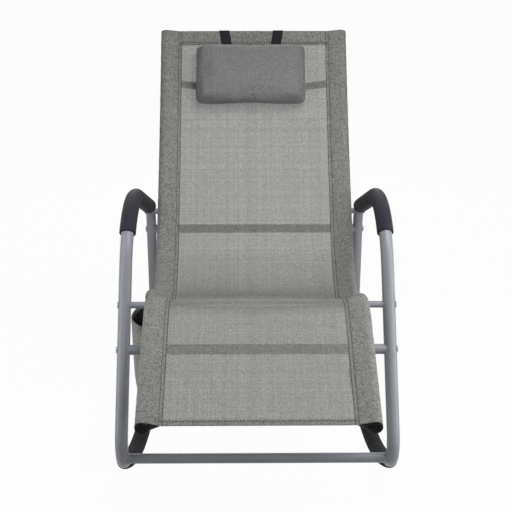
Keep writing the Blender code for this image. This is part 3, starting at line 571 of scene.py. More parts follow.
def fillet_centre(point: Vector, angle: float, inward: Vector, radius: float, centre: Vector,
                  arc_radius: float) -> Vector:
    """Find the bend that touches a line and the inside of a large arc.

    Args:
        point: A point on the line.
        angle: The line's heading.
        inward: The line's normal into the loop.
        radius: The bend's radius.
        centre: The large arc's centre.
        arc_radius: The large arc's radius.

    Returns:
        The lower of the two possible centres of the bend.
    """
    along = ray(angle)
    base = point + inward * radius - centre
    travel = base.dot(along)
    rest = (arc_radius - radius) ** 2 - (base.length_squared - travel ** 2)
    return centre + base - (travel + math.sqrt(rest)) * along


@dataclass
class ChairPlan:
    """Driving sizes of the chair and the paths that follow from them."""

    rail_spacing: float = 0.228
    rail_od: float = 0.025
    rail_wall: float = 0.0012
    foot: Pair = (-0.2458, 0.2953)
    leg_angle: float = 21.8
    leg_length: float = 0.320
    knee_radius: float = 0.155
    thigh_angle: float = -33.0
    thigh_length: float = 0.010
    hip_radius: float = 0.30
    back_angle: float = 44.5
    back_radius: float = 2.6
    back_length: float = 0.588
    knee_bolt: float = 0.059
    arm_bolt: float = 0.084
    frame_outside: float = 0.061
    pivot_y: float = 0.017
    toe_in: float = 2.7
    upright_angle: float = 66.5
    arm_slope: float = 20.0
    rear_lean: float = 7.0
    arm_bend: float = 0.183
    elbow_bend: float = 0.060
    rear_bend: float = 0.060
    rocker_radius: float = 0.82
    rocker_low_y: float = 0.378
    runner_od: float = 0.0360
    sling_radius: float = 0.013752
    centre_y: float = 0.35137551
    runner_step: float = 5.0
    runner_flats: float = cos(pi / 10)
    rail: BentPath = field(init=False)
    loop: BentPath = field(init=False)
    rail_at: dict[str, float] = field(init=False)
    loop_at: dict[str, float] = field(init=False)

    def __post_init__(self) -> None:
        """Work out both paths."""
        self.rail, self.rail_at = self._rail_path()
        self.loop, self.loop_at = self._loop_path()

    def _rail_path(self) -> tuple[BentPath, dict[str, float]]:
        """Return the seat rail's path from foot to head, and the distances of its bolts."""
        path = BentPath(self.foot, self.leg_angle)
        path.add(self.leg_length)
        knee = path.turn(self.knee_radius, self.thigh_angle - self.leg_angle)
        path.add(self.thigh_length)
        path.turn(self.hip_radius, self.back_angle - self.thigh_angle)
        back = path.turn(self.back_radius, degrees(self.back_length / self.back_radius))
        return path, {"knee_bolt": knee + self.knee_bolt, "arm_bolt": back + self.arm_bolt}

    def on_plane(self, place: str) -> Vector:
        """Return a place of the rail as seen in a side frame's own plane."""
        point = self.rail.at(self.rail_at[place])[0]
        return Vector((self.pivot_y + (point.x - self.pivot_y) / cos(radians(self.toe_in)), point.y))

    def _loop_path(self) -> tuple[BentPath, dict[str, float]]:
        """Return the side frame's closed path from the arm's rear, and where its runs start."""
        upright, arm_heading, leg_heading = self.upright_angle, 180.0 - self.arm_slope, 90.0 + self.rear_lean
        on_upright = self.on_plane("knee_bolt")
        rear_turn = arm_heading - leg_heading
        rise = self.rear_bend * (1 / cos(radians(rear_turn / 2)) - 1)
        rear_top = self.on_plane("arm_bolt") + rise * ray((leg_heading + arm_heading - 180.0) / 2)
        front_top = crossing(rear_top, arm_heading, on_upright, upright)
        height = (self.rocker_radius + self.runner_od / 2 * self.runner_flats) * cos(radians(self.runner_step / 2))
        centre = Vector((self.rocker_low_y, height))
        front_in, rear_in = -leftward(upright), leftward(leg_heading)
        elbow = fillet_centre(on_upright, upright, front_in, self.elbow_bend, centre, self.rocker_radius)
        heel = fillet_centre(rear_top, leg_heading, rear_in, self.rear_bend, centre, self.rocker_radius)
        runner_first, runner_last = (degrees(math.atan2(end.x - centre.x, centre.y - end.y)) for end in (elbow, heel))
        down = 180.0 + upright
        front_turn = down - arm_heading
        front_tangent = self.arm_bend * tan(radians(front_turn / 2))
        rear_tangent = self.rear_bend * tan(radians(rear_turn / 2))
        arm_run = (front_top - rear_top).length - front_tangent - rear_tangent
        upright_run = (front_top - (elbow - front_in * self.elbow_bend)).length - front_tangent
        leg_run = (rear_top - (heel - rear_in * self.rear_bend)).length - rear_tangent
        path = BentPath(rear_top + ray(arm_heading) * rear_tangent, arm_heading)
        return path, {"arm": path.add(arm_run), "front_bend": path.turn(self.arm_bend, front_turn),
                      "upright": path.add(upright_run),
                      "elbow": path.turn(self.elbow_bend, 360.0 + runner_first - down),
                      "runner": path.turn(self.rocker_radius, runner_last - runner_first),
                      "heel": path.turn(self.rear_bend, leg_heading - runner_last),
                      "rear_leg": path.add(leg_run), "rear_bend": path.turn(self.rear_bend, rear_turn),
                      "close": path.add(arm_run)}

    def loop_at_height(self, height: float, first: str, last: str) -> float:
        """Return the distance on the loop, on a straight run between two places, at a height."""
        low, high = self.loop_at[first], self.loop_at[last]
        bottom, top = self.loop.at(low)[0].y, self.loop.at(high)[0].y
        return low + (high - low) * (height - bottom) / (top - bottom)

    def loop_frame(self, side: Side) -> Frame:
        """Give the loop of one side its place in the chair.

        Args:
            side: The side.

        Returns:
            Function from a distance on the loop to its centre and two cross directions.
        """
        toe = radians(self.toe_in)
        forward = Vector((-side.value * sin(toe), cos(toe), 0.0))
        across = Vector((cos(toe), side.value * sin(toe), 0.0))
        base = Vector((side.value * (self.rail_spacing + self.frame_outside), self.pivot_y - self.centre_y, 0.0))

        def frame(distance: float) -> Axes:
            """Return the loop's centre and cross directions."""
            point, heading = self.loop.at(distance)
            centre = base + forward * (point.x - self.pivot_y) + point.y * UP
            return centre, across, -sin(radians(heading)) * forward + cos(radians(heading)) * UP

        return frame

    def rail_point(self, x: float, distance: float, left: float = 0.0) -> Vector:
        """Return a point beside a rail's path, at an offset to its upper side."""
        point = self.rail.offset(distance, left)
        return Vector((x, point.x - self.centre_y, point.y))

    def rail_axes(self, distance: float) -> tuple[Vector, Vector]:
        """Return the directions along a rail's path and out of its upper side."""
        heading = self.rail.at(distance)[1]
        return Vector((0.0, *ray(heading))), Vector((0.0, *leftward(heading)))

    def rail_frame(self, x: float) -> Frame:
        """Return a function from a distance on a rail to its centre and two cross directions."""
        return lambda distance: (self.rail_point(x, distance), ACROSS, self.rail_axes(distance)[1])


# Meshes and pieces

@contextmanager
def edited(mesh: Mesh) -> Iterator[bmesh.types.BMesh]:
    """Open a mesh for edits, and write them back at the end."""
    shape = bmesh.new()
    shape.from_mesh(mesh)
    yield shape
    shape.to_mesh(mesh)
    shape.free()


def raw_mesh(name: str, verts: Sequence, edges: Sequence, faces: Sequence) -> Mesh:
    """Return a mesh as it is given."""
    mesh = bpy.data.meshes.new(name)
    mesh.from_pydata([tuple(vert) for vert in verts], edges, faces)
    return mesh


def tidy_mesh(mesh: Mesh, merge: bool = True) -> None:
    """Merge the corners that lie on each other, where asked, and turn the faces outwards."""
    with edited(mesh) as shape:
        if merge:
            bmesh.ops.remove_doubles(shape, verts=shape.verts, dist=MERGE)
        bmesh.ops.recalc_face_normals(shape, faces=shape.faces)


def ringed_mesh(name: str, verts: Sequence, rings: list[list[int]], closed: bool) -> Mesh:
    """Skin a row of rings.

    Args:
        name: The mesh's name.
        verts: Its corners.
        rings: Corner numbers of each ring; a single corner is a pole.
        closed: Whether the last ring joins the first.

    Returns:
        The mesh, merged and with its faces outwards.
    """
    faces = []
    for first, last in zip(rings, rings[1:] + rings[:1] if closed else rings[1:]):
        count = max(len(first), len(last))
        for index in range(count):
            after = (index + 1) % count
            face = (first[index % len(first)], first[after % len(first)], last[after % len(last)],
                    last[index % len(last)])
            faces.append(tuple(dict.fromkeys(face)))
    mesh = raw_mesh(name, verts, [], faces)
    tidy_mesh(mesh)
    return mesh


def sweep(name: str, profile: Sequence[Pair], frame: Frame, sides: int = 40, closed: bool = False) -> Mesh:
    """Draw a round shape along a path.

    Args:
        name: The mesh's name.
        profile: Pairs of distance and radius; a radius of 0 makes a pole.
        frame: Function from a distance to a centre and two cross directions.
        sides: Corners of each ring.
        closed: Whether the last ring joins the first.

    Returns:
        The mesh.
    """
    verts = []
    rings = []
    for distance, radius in profile:
        centre, across, up = frame(distance)
        count = sides if radius > 0.0 else 1
        rings.append(list(range(len(verts), len(verts) + count)))
        for index in range(count):
            angle = 2 * pi * index / sides
            verts.append(centre + radius * (cos(angle) * across + sin(angle) * up))
    return ringed_mesh(name, verts, rings, closed)


def along_ring(ring: Line, index: float) -> Vector:
    """Return the direction of a closed line at one of its points."""
    return (ring[(int(index) + 1) % len(ring)] - ring[int(index) - 1]).normalized()


def tube_profile(stops: Sequence[float], outer: float, wall: float, edge: float) -> list[Pair]:
    """Draw the closed profile of a tube with softly rounded end edges.

    Args:
        stops: Distances along the path.
        outer: Outer radius.
        wall: Wall thickness.
        edge: Radius of the rounded edges.

    Returns:
        Pairs of distance and radius, outside first.
    """
    arc = spaced(0.0, pi / 2, 4)
    round_off = [(edge * (1 - cos(turn)), outer - edge * (1 - sin(turn))) for turn in arc]
    first, last = stops[0], stops[-1]
    inner = [stop for stop in stops[1:-1] if first + 2 * edge < stop < last - 2 * edge]
    profile = [(first, outer - wall)]
    profile += [(first + run, radius) for run, radius in round_off]
    profile += [(stop, outer) for stop in inner]
    profile += [(last - run, radius) for run, radius in reversed(round_off)]
    profile.append((last, outer - wall))
    return profile + [(stop, outer - wall) for stop in reversed(inner)]


def mark(mesh: Mesh, name: str, shares: Sequence[float]) -> None:
    """Store a share on each point of a mesh."""
    mesh.attributes.new(name, "FLOAT", "POINT").data.foreach_set("value", shares)


def map_weave(mesh: Mesh, flat: Callable[[Vector, Vector], Pair]) -> None:
    """Give a mesh its weave map in metres.

    Args:
        mesh: The mesh.
        flat: Function from a point and its face's normal to the place on the flat cloth.
    """
    layer = mesh.uv_layers.new(name=WEAVE_UV)
    for face in mesh.polygons:
        for corner in face.loop_indices:
            point = mesh.vertices[mesh.loops[corner].vertex_index].co
            layer.data[corner].uv = flat(point, face.normal)


def grid_mesh(name: str, columns: int, rows: int, place: Callable[[int, int], Vector],
              flat: Callable[[int, int], Pair]) -> Mesh:
    """Draw a cloth grid with a weave map in metres.

    Args:
        name: The mesh's name.
        columns: Faces across.
        rows: Faces along.
        place: Function from a column and row to a point.
        flat: Function from a column and row to the place on the flat cloth.

    Returns:
        The mesh, its points row by row.
    """
    verts = [place(column, row) for row in range(rows + 1) for column in range(columns + 1)]
    faces = []
    maps = []
    for row in range(rows):
        for column in range(columns):
            corners = ((column, row), (column + 1, row), (column + 1, row + 1), (column, row + 1))
            faces.append([y * (columns + 1) + x for x, y in corners])
            maps += [value for corner in corners for value in flat(*corner)]
    mesh = raw_mesh(name, verts, [], faces)
    mesh.uv_layers.new(name=WEAVE_UV).data.foreach_set("uv", maps)
    return mesh


def put(name: str, data: bpy.types.ID) -> Object:
    """Return a new object in the scene that carries a mesh, a lamp or a camera."""
    holder = bpy.data.objects.new(name, data)
    bpy.context.scene.collection.objects.link(holder)
    return holder


def add_piece(name: str, mesh: Mesh, finish: Material, slot: str, nodes: Sequence[str] = (),
              body: str = CHAIR_BODY, sharp: float = 40.0) -> Object:
    """Put a finished mesh on the chair.

    Args:
        name: The piece's name.
        mesh: Its mesh, in the chair's own place.
        finish: Its material.
        slot: The record's material slot; not used.
        nodes: The CAD nodes that it stands for.
        body: The body that it rides on.
        sharp: Edges sharper than this angle stay crisp.

    Returns:
        The piece.
    """
    mesh.name = name
    piece = put(name, mesh)
    mesh.materials.clear()
    mesh.materials.append(finish)
    mesh.shade_smooth()
    mesh.set_sharp_from_angle(angle=radians(sharp))
    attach(piece, body)
    if nodes:
        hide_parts(*nodes)
    LOG.info("%s: %d faces on %s", name, len(mesh.polygons), body)
    return piece


def baked(holder: Object) -> Mesh:
    """Return the plain mesh of an object with its modifiers, and delete the object."""
    graph = bpy.context.evaluated_depsgraph_get()
    mesh = bpy.data.meshes.new_from_object(holder.evaluated_get(graph), preserve_all_data_layers=True,
                                           depsgraph=graph)
    bpy.data.objects.remove(holder, do_unlink=True)
    return mesh


def modify(holder: Object, kind: str, **settings: object) -> None:
    """Add a modifier with its settings to an object."""
    modifier = holder.modifiers.new(kind.lower(), kind)
    for name, value in settings.items():
        setattr(modifier, name, value)


def thickened(mesh: Mesh, thickness: float) -> Mesh:
    """Return a sheet with its wall, half to each side."""
    holder = put("work", mesh)
    modify(holder, "SOLIDIFY", thickness=thickness, offset=0.0, use_even_offset=False)
    return baked(holder)


class PieceTree:
    """A Geometry Nodes tree with named inputs."""

    def __init__(self, name: str, **inputs: str) -> None:
        """Start a tree with a geometry input, other named inputs and a geometry output.

        Args:
            name: The tree's name.
            inputs: Socket type of each other input, by name.
        """
        self.tree = bpy.data.node_groups.new(name, "GeometryNodeTree")
        self.keys = {}
        for label, kind in {"Geometry": "Geometry", **inputs}.items():
            entry = self.tree.interface.new_socket(label, in_out="INPUT", socket_type="NodeSocket" + kind)
            self.keys[label] = entry.identifier
        self.tree.interface.new_socket("Geometry", in_out="OUTPUT", socket_type="NodeSocketGeometry")
        self.inputs = self.tree.nodes.new("NodeGroupInput").outputs

    def add(self, kind: str, settings: dict | None = None, links: dict | None = None,
            out: str | int = 0) -> NodeSocket:
        """Add any node and return one of its outputs."""
        return pick(add_node(self.tree, kind, settings, links).outputs, out)

    def close(self, geometry: NodeSocket, material: NodeSocket) -> None:
        """Realize the instances, give them their material and end the tree."""
        real = self.add("GeometryNodeRealizeInstances", {}, {"Geometry": geometry})
        dressed = self.add("GeometryNodeSetMaterial", {}, {"Geometry": real, "Material": material})
        add_node(self.tree, "NodeGroupOutput", {}, {0: dressed})

    def run(self, mesh: Mesh, **values: object) -> Mesh:
        """Make a plain mesh with the tree.

        Args:
            mesh: The geometry input.
            values: The other inputs by name.

        Returns:
            The result.
        """
        holder = put("work", mesh)
        modifier = holder.modifiers.new("tree", "NODES")
        modifier.node_group = self.tree
        for label, value in values.items():
            modifier[self.keys[label]] = value
        return baked(holder)


def stitch_tree() -> PieceTree:
    """Return the tree that sews a line of stitches along every edge line of a mesh."""
    tree = PieceTree("stitch_line", pitch="Float", length="Float", radius="Float", thread="Material")
    entries = tree.inputs
    curve = tree.add("GeometryNodeMeshToCurve", {}, {"Mesh": entries["Geometry"]})
    knots = tree.add("GeometryNodeResampleCurve", {"mode": "LENGTH"}, {"Curve": curve, "Length": entries["pitch"]})
    bead = tree.add("GeometryNodeMeshUVSphere", {}, {"Segments": 6, "Rings": 4, "Radius": 0.5})
    turn = tree.add("FunctionNodeAlignRotationToVector", {"axis": "X"},
                    {"Vector": tree.add("GeometryNodeInputTangent")})
    width = tree.add("ShaderNodeMath", {"operation": "MULTIPLY"}, {0: entries["radius"], 1: 2.0})
    size = tree.add("ShaderNodeCombineXYZ", {}, {"X": entries["length"], "Y": width, "Z": width})
    sewn = tree.add("GeometryNodeInstanceOnPoints", {},
                    {"Points": knots, "Instance": bead, "Rotation": turn, "Scale": size})
    tree.close(sewn, entries["thread"])
    return tree


def bolt_tree() -> PieceTree:
    """Return the tree that sets a bolt at every point, with its head along the point's outward direction."""
    tree = PieceTree("bolt_set", bolt="Object", plating="Material")
    entries = tree.inputs
    bolt = tree.add("GeometryNodeObjectInfo", {}, {"Object": entries["bolt"]}, "Geometry")
    outward = tree.add("GeometryNodeInputNamedAttribute", {"data_type": "FLOAT_VECTOR"}, {"Name": "outward"})
    turn = tree.add("FunctionNodeAlignRotationToVector", {"axis": "X"}, {"Vector": outward})
    placed = tree.add("GeometryNodeInstanceOnPoints", {},
                      {"Points": entries["Geometry"], "Instance": bolt, "Rotation": turn})
    tree.close(placed, entries["plating"])
    return tree


def line_mesh(name: str, lines: Sequence[Line]) -> Mesh:
    """Return a mesh of open edge lines."""
    verts = []
    edges = []
    for line in lines:
        edges += [(index, index + 1) for index in range(len(verts), len(verts) + len(line) - 1)]
        verts += line
    return raw_mesh(name, verts, edges, [])


@dataclass
class TubeEnd:
    """The side of a tube against which a cross bar's end is fitted."""

    centre: Vector
    axis: Vector
    radius: float
    far: bool

    def reach(self, y: float, z: float) -> Vector:
        """Return where a line along X at y and z meets the tube's lower or higher side."""
        base = Vector((0.0, y, z)) - self.centre
        base -= base.dot(self.axis) * self.axis
        step = ACROSS - self.axis.x * self.axis
        half = base.dot(step)
        root = math.sqrt(max(0.0, half ** 2 - step.length_squared * (base.length_squared - self.radius ** 2)))
        return Vector(((root - half if self.far else -root - half) / step.length_squared, y, z))

    def ring(self, centre: Vector, radius: float, sides: int) -> Line:
        """Return the ring where a round bar along X meets the tube."""
        angles = [2 * pi * index / sides for index in range(sides)]
        return [self.reach(centre.y + radius * cos(angle), centre.z + radius * sin(angle)) for angle in angles]


def fitted_bar(name: str, centre: Vector, outer: float, wall: float, ends: tuple[TubeEnd, TubeEnd],
               sides: int = 40) -> Mesh:
    """Draw a straight tube along X whose two ends are shaped to the tubes they meet.

    Args:
        name: The mesh's name.
        centre: A point on its axis.
        outer: Outer radius.
        wall: Wall thickness.
        ends: The tubes at the lower and the higher end.
        sides: Corners round the bar.

    Returns:
        The mesh.
    """
    verts = []
    for end, radius in ((0, outer), (1, outer), (1, outer - wall), (0, outer - wall)):
        verts += ends[end].ring(centre, radius, sides)
    rings = [list(range(first, first + sides)) for first in range(0, len(verts), sides)]
    return ringed_mesh(name, verts, rings, closed=True)


def ring_sweep(name: str, ring: Line, radii: Sequence[float], normal: Vector, sides: int,
               size: Pair = (1.0, 1.0)) -> Mesh:
    """Draw a cord along a closed line.

    Args:
        name: The mesh's name.
        ring: The line.
        radii: The cord's radius at each of its points.
        normal: The normal of the plane in which the line about lies.
        sides: Corners round the cord.
        size: Shares of the radius in that plane and along its normal.

    Returns:
        The mesh.
    """
    def frame(index: float) -> Axes:
        """Return the line's point and cross directions."""
        along = along_ring(ring, index)
        across = along.cross(normal).normalized()
        return ring[int(index)], size[0] * across, size[1] * along.cross(across)

    return sweep(name, list(enumerate(radii)), frame, sides, closed=True)


# Frame

@dataclass(frozen=True)
class LoopTube:
    """One tube, grip or cover along a side frame's loop."""

    piece: str
    node: str
    span: Pair
    od: float
    wall: float
    edge: float
    finish: Material
    slot: str = "frame_paint"
    sides: int = 40
    lift: float = 0.0

    def build(self, plan: ChairPlan, side: Side) -> None:
        """Put the tube on one side of the chair.

        Args:
            plan: The chair's paths.
            side: The side.
        """
        base = plan.loop_frame(side)

        def frame(distance: float) -> Axes:
            """Return the tube's centre, lifted off the loop, and cross directions."""
            centre, across, up = base(distance)
            return centre + self.lift * UP, across, up

        profile = tube_profile(plan.loop.stops(*self.span), self.od / 2, self.wall, self.edge)
        add_piece(f"{side.word}_{self.piece}", sweep(self.piece, profile, frame, self.sides, closed=True),
                  self.finish, self.slot, [f"{self.node}_{side.word}"])


@dataclass
class SideFrames:
    """The two bent side frames with their foam grips, runner covers and cross bars."""

    plan: ChairPlan
    paint: Material
    foam: Material
    rubber: Material
    side_od: float = 0.028
    side_wall: float = 0.0015
    side_edge: float = 0.0006
    rear_od: float = 0.0242
    rear_wall: float = 0.0012
    rear_edge: float = 0.0005
    insertion: float = 0.045
    grip_od: float = 0.0365
    grip_edge: float = 0.0026
    runner_edge: float = 0.0011
    arm_tube_from_bend: float = 0.012
    grip_from_bend: float = 0.008
    grip_above_upright: float = 0.079
    runner_front: float = 0.012
    runner_rear: float = 0.010
    runner_lift: float = 0.0017
    round_sides: int = 48
    bar_od: float = 0.022
    bar_wall: float = 0.0012
    floor_bar_share: float = 0.7
    front_bar_height: float = 0.337
    rear_bar_height: float = 0.442
    weld: float = 0.0022
    weld_wave: float = 0.12
    weld_beat: float = 2.4
    weld_sides: int = 10

    def build(self) -> None:
        """Make both frames and the bars between them."""
        for side in Side:
            for tube in self.tubes():
                tube.build(self.plan, side)
        at = self.plan.loop_at
        floor = at["elbow"] + self.floor_bar_share * (at["runner"] - at["elbow"])
        self.build_bar("floor_bar", "front_floor_bar", floor, self.side_od, welded=True)
        for name, place in zip(("front_bar", "rear_bar"), self.bolted_bars()):
            self.build_bar(name, *place)

    def tubes(self) -> tuple[LoopTube, ...]:
        """Return a side frame's wide tube, slim rear tube, grip and runner cover."""
        at, runner_od = self.plan.loop_at, self.plan.runner_od
        joint = at["heel"] - self.insertion
        side = (at["arm"] + self.arm_tube_from_bend, joint)
        rear = (joint - self.insertion, at["close"] + self.arm_tube_from_bend + self.insertion)
        grip = (at["arm"] + self.grip_from_bend, at["upright"] - self.grip_above_upright)
        runner = (at["runner"] + self.runner_front, at["heel"] - self.runner_rear)
        return (
            LoopTube("side_hoop", "side_tube", side, self.side_od, self.side_wall, self.side_edge, self.paint),
            LoopTube("rear_hoop", "rear_tube", rear, self.rear_od, self.rear_wall, self.rear_edge, self.paint),
            LoopTube("arm_foam", "arm_grip", grip, self.grip_od, (self.grip_od - self.side_od) / 2, self.grip_edge,
                     self.foam, "arm_foam", self.round_sides),
            LoopTube("runner_cover", "runner_sleeve", runner, runner_od,
                     (runner_od - self.side_od) / 2 - self.runner_lift, self.runner_edge,
                     self.rubber, "runner_rubber", self.round_sides, self.runner_lift),
        )

    def bolted_bars(self) -> tuple[tuple[str, float, float], ...]:
        """Return the CAD node, distance on the loop and side tube width of the front and the rear bar."""
        return (("front_cross_bar", self.plan.loop_at_height(self.front_bar_height, "upright", "elbow"), self.side_od),
                ("rear_cross_bar", self.plan.loop_at_height(self.rear_bar_height, "rear_leg", "rear_bend"),
                 self.rear_od))

    def tube_end(self, side: Side, distance: float, tube_od: float) -> TubeEnd:
        """Return the inner side of a side tube at a place on its loop."""
        centre, across, up = self.plan.loop_frame(side)(distance)
        return TubeEnd(centre, across.cross(up).normalized(), tube_od / 2, side is Side.LEFT)

    def build_bar(self, name: str, node: str, distance: float, tube_od: float, welded: bool = False) -> None:
        """Make one bar between the side frames.

        Args:
            name: The piece's name.
            node: The CAD node that it stands for.
            distance: Its place on the side frames' loop.
            tube_od: Width of the side tubes there.
            welded: Whether a weld bead runs round its ends.
        """
        centre = self.plan.loop_frame(Side.RIGHT)(distance)[0]
        ends = (self.tube_end(Side.LEFT, distance, tube_od), self.tube_end(Side.RIGHT, distance, tube_od))
        add_piece(name, fitted_bar(name, centre, self.bar_od / 2, self.bar_wall, ends), self.paint, "frame_paint",
                  [node])
        for side, end in zip(Side, ends if welded else ()):
            ring = end.ring(centre, self.bar_od / 2, self.round_sides)
            uneven = [self.weld * (1.0 + self.weld_wave * sin(index * self.weld_beat)) for index in range(len(ring))]
            bead = ring_sweep("bead", ring, uneven, ACROSS, self.weld_sides)
            add_piece(f"{side.word}_{name}_weld", bead, self.paint, "frame_paint")


@dataclass(frozen=True)
class RailJoint:
    """A joint between a rail and a side frame: its places on both, and the side tube's width."""

    name: str
    on_loop: float
    on_rail: float
    tube_od: float


@dataclass
class SeatRails:
    """The two seat rails with their end caps, the head bar, the spacers and the bolts."""

    plan: ChairPlan
    frames: SideFrames
    paint: Material
    plastic: Material
    zinc: Material
    rail_edge: float = 0.0005
    spacer_od: float = 0.0145
    spacer_wall: float = 0.0028
    spacer_sides: int = 32
    head_bar_below_top: float = 0.135
    head_bar_od: float = 0.019
    head_bar_wall: float = 0.0012
    head_bar_edge: float = 0.0004
    head_bar_bow: float = 0.045
    head_bar_sink: float = 0.92
    head_bar_steps: int = 48
    cap_spigot: float = 0.016
    cap_slack: float = 0.0004
    cap_gap: float = 0.0003
    cap_edge: float = 0.0008
    cap_flange_od: float = 0.0275
    cap_flange: float = 0.0035
    cap_nose_od: float = 0.0245
    cap_nose: float = 0.0035
    cap_round: tuple[Pair, ...] = ((0.0016, 0.0), (0.0007, 0.0007), (0.0002, 0.0019), (0.0, 0.0034))
    bolt_head: float = 0.015
    bolt_height: float = 0.0032
    bolt_shaft: float = 0.008
    bolt_length: float = 0.030
    bolt_sides: int = 24
    bolt_sharp: float = 35.0

    def build(self) -> None:
        """Make the rails and what joins them to the side frames."""
        for side in Side:
            self.build_rail(side)
        self.build_head_bar()
        self.build_spacers()
        self.build_bolts()

    def build_rail(self, side: Side) -> None:
        """Make one rail and the cap on its foot end."""
        plan, word = self.plan, side.word
        frame = plan.rail_frame(side.value * plan.rail_spacing)
        stops = plan.rail.stops(0.0, plan.rail.length)
        rail = sweep("rail", tube_profile(stops, plan.rail_od / 2, plan.rail_wall, self.rail_edge), frame, closed=True)
        add_piece(word + "_seat_rail", rail, self.paint, "frame_paint", ["seat_rail_" + word])
        add_piece(word + "_rail_end_cap", sweep("cap", self.cap_profile(), frame), self.plastic, "black_plastic",
                  ["rail_foot_cap_" + word])

    def cap_profile(self) -> list[Pair]:
        """Return a foot cap's distances and radii: a spigot, a flange and a rounded nose."""
        inside = self.plan.rail_od / 2 - self.plan.rail_wall - self.cap_slack
        flange, nose, edge, seat = self.cap_flange_od / 2, self.cap_nose_od / 2, self.cap_edge, -self.cap_gap
        back = -self.cap_flange
        tip = back - self.cap_nose
        return [(self.cap_spigot, 0.0), (self.cap_spigot, inside), (seat, inside), (seat, flange - edge / 2),
                (seat - edge / 2, flange), (back + edge, flange), (back + edge * 0.3, flange - edge * 0.3),
                (back, flange - edge), (back, nose + edge * 0.4), (back - edge * 0.4, nose),
                *((tip + run, nose - drop) for run, drop in self.cap_round), (tip, nose * 0.4), (tip, 0.0)]

    def head_bar_line(self, x_reach: float) -> Frame:
        """Lay out the bowed head bar.

        Args:
            x_reach: Its half width.

        Returns:
            Its frame, for shares from -1 to 1 of the half width.
        """
        radius = (self.plan.rail_spacing ** 2 + self.head_bar_bow ** 2) / (2 * self.head_bar_bow)
        reach = math.asin(x_reach / radius)
        distance = self.plan.rail.length - self.head_bar_below_top
        up_back, outward = self.plan.rail_axes(distance)

        def frame(share: float) -> Axes:
            """Return the bar's centre and cross directions."""
            angle = reach * share
            sink = radius * (1 - cos(angle)) - self.head_bar_bow
            centre = self.plan.rail_point(radius * sin(angle), distance) + sink * outward
            return centre, up_back, cos(angle) * outward - sin(angle) * ACROSS

        return frame

    def build_head_bar(self) -> None:
        """Make the bowed bar that spreads the rails behind the head."""
        frame = self.head_bar_line(self.plan.rail_spacing - self.plan.rail_od / 2 * self.head_bar_sink)
        stops = spaced(-1.0, 1.0, self.head_bar_steps)
        profile = tube_profile(stops, self.head_bar_od / 2, self.head_bar_wall, self.head_bar_edge)
        add_piece("head_bar", sweep("head_bar", profile, frame, closed=True), self.paint, "frame_paint",
                  ["head_spreader_bar"])

    def joints(self) -> tuple[RailJoint, RailJoint]:
        """Return the joints at the knee and at the arm."""
        plan, frames = self.plan, self.frames
        knee, arm = plan.rail_at["knee_bolt"], plan.rail_at["arm_bolt"]
        return (RailJoint("knee", plan.loop_at_height(plan.rail.at(knee)[0].y, "upright", "elbow"), knee,
                          frames.side_od),
                RailJoint("arm", (plan.loop_at["rear_bend"] + plan.loop_at["close"]) / 2, arm, frames.rear_od))

    def build_spacers(self) -> None:
        """Make the spacer between rail and side tube at each joint."""
        plan = self.plan
        for side in Side:
            for joint in self.joints():
                centre, across, up = plan.rail_frame(side.value * plan.rail_spacing)(joint.on_rail)
                rail = TubeEnd(centre, across.cross(up).normalized(), plan.rail_od / 2, side is Side.RIGHT)
                tube = self.frames.tube_end(side, joint.on_loop, joint.tube_od)
                ends = (tube, rail) if side is Side.LEFT else (rail, tube)
                mesh = fitted_bar("spacer", centre, self.spacer_od / 2, self.spacer_wall, ends, self.spacer_sides)
                add_piece(f"{side.word}_{joint.name}_distance_piece", mesh, self.paint, "frame_paint",
                          [f"{joint.name}_spacer_{side.word}"])

    def build_bolts(self) -> None:
        """Set a low round-headed bolt on the outside of every joint."""
        places = [*self.frames.bolted_bars(), *((joint.name, joint.on_loop, joint.tube_od) for joint in self.joints())]
        points, outward, nodes = [], [], []
        for side in Side:
            for name, distance, tube_od in places:
                points.append([self.plan.loop_frame(side)(distance)[0] + side.value * tube_od / 2 * ACROSS])
                outward += [side.value, 0.0, 0.0]
                nodes.append(f"{name}_bolt_{side.word}")
        mesh = line_mesh("bolt_points", points)
        mesh.attributes.new("outward", "FLOAT_VECTOR", "POINT").data.foreach_set("vector", outward)
        sample = put("bolt_sample", self.bolt_mesh())
        bolts = bolt_tree().run(mesh, bolt=sample, plating=self.zinc)
        bpy.data.objects.remove(sample, do_unlink=True)
        add_piece("frame_bolt_set", bolts, self.zinc, "zinc_fasteners", nodes, sharp=self.bolt_sharp)

    def bolt_mesh(self) -> Mesh:
        """Return one bolt along X with its head's seat at the origin."""
        head, shaft, top = self.bolt_head / 2, self.bolt_shaft / 2, self.bolt_height
        socket = [(top * 0.35, 0.0), (top * 0.35, head * 0.30), (top * 0.93, head * 0.34)]
        dome = [(top * cos(radians(angle)) * 0.72 + top * 0.28, head * sin(radians(angle)) * 0.97)
                for angle in (24, 40, 54, 66, 78, 88)]
        skirt = [(top * 0.20, head), (0.0002, head), (-0.0005, head * 0.97), (-0.0005, shaft)]
        end = [(-self.bolt_length, shaft), (-self.bolt_length, 0.0)]
        return sweep("bolt", socket + dome + skirt + end,
                     lambda distance: (distance * ACROSS, Vector((0.0, 1.0, 0.0)), UP), self.bolt_sides)


# Cloth pieces

def hump(value: float, centre: float, width: float) -> float:
    """Return a soft bell of height 1 about a centre."""
    return math.exp(-((value - centre) / width) ** 2)


def ripple(along: float, phase: float) -> float:
    """Return an uneven wave between about -1 and 1, with waves some 15 to 40 mm long."""
    slow = sin(2 * pi * along / LONG_WAVE + phase)
    short = sin(2 * pi * along / SHORT_WAVE + 2.1 * slow + phase)
    return 0.6 * short + 0.4 * sin(2 * pi * along / MIDDLE_WAVE + 1.7 * phase)


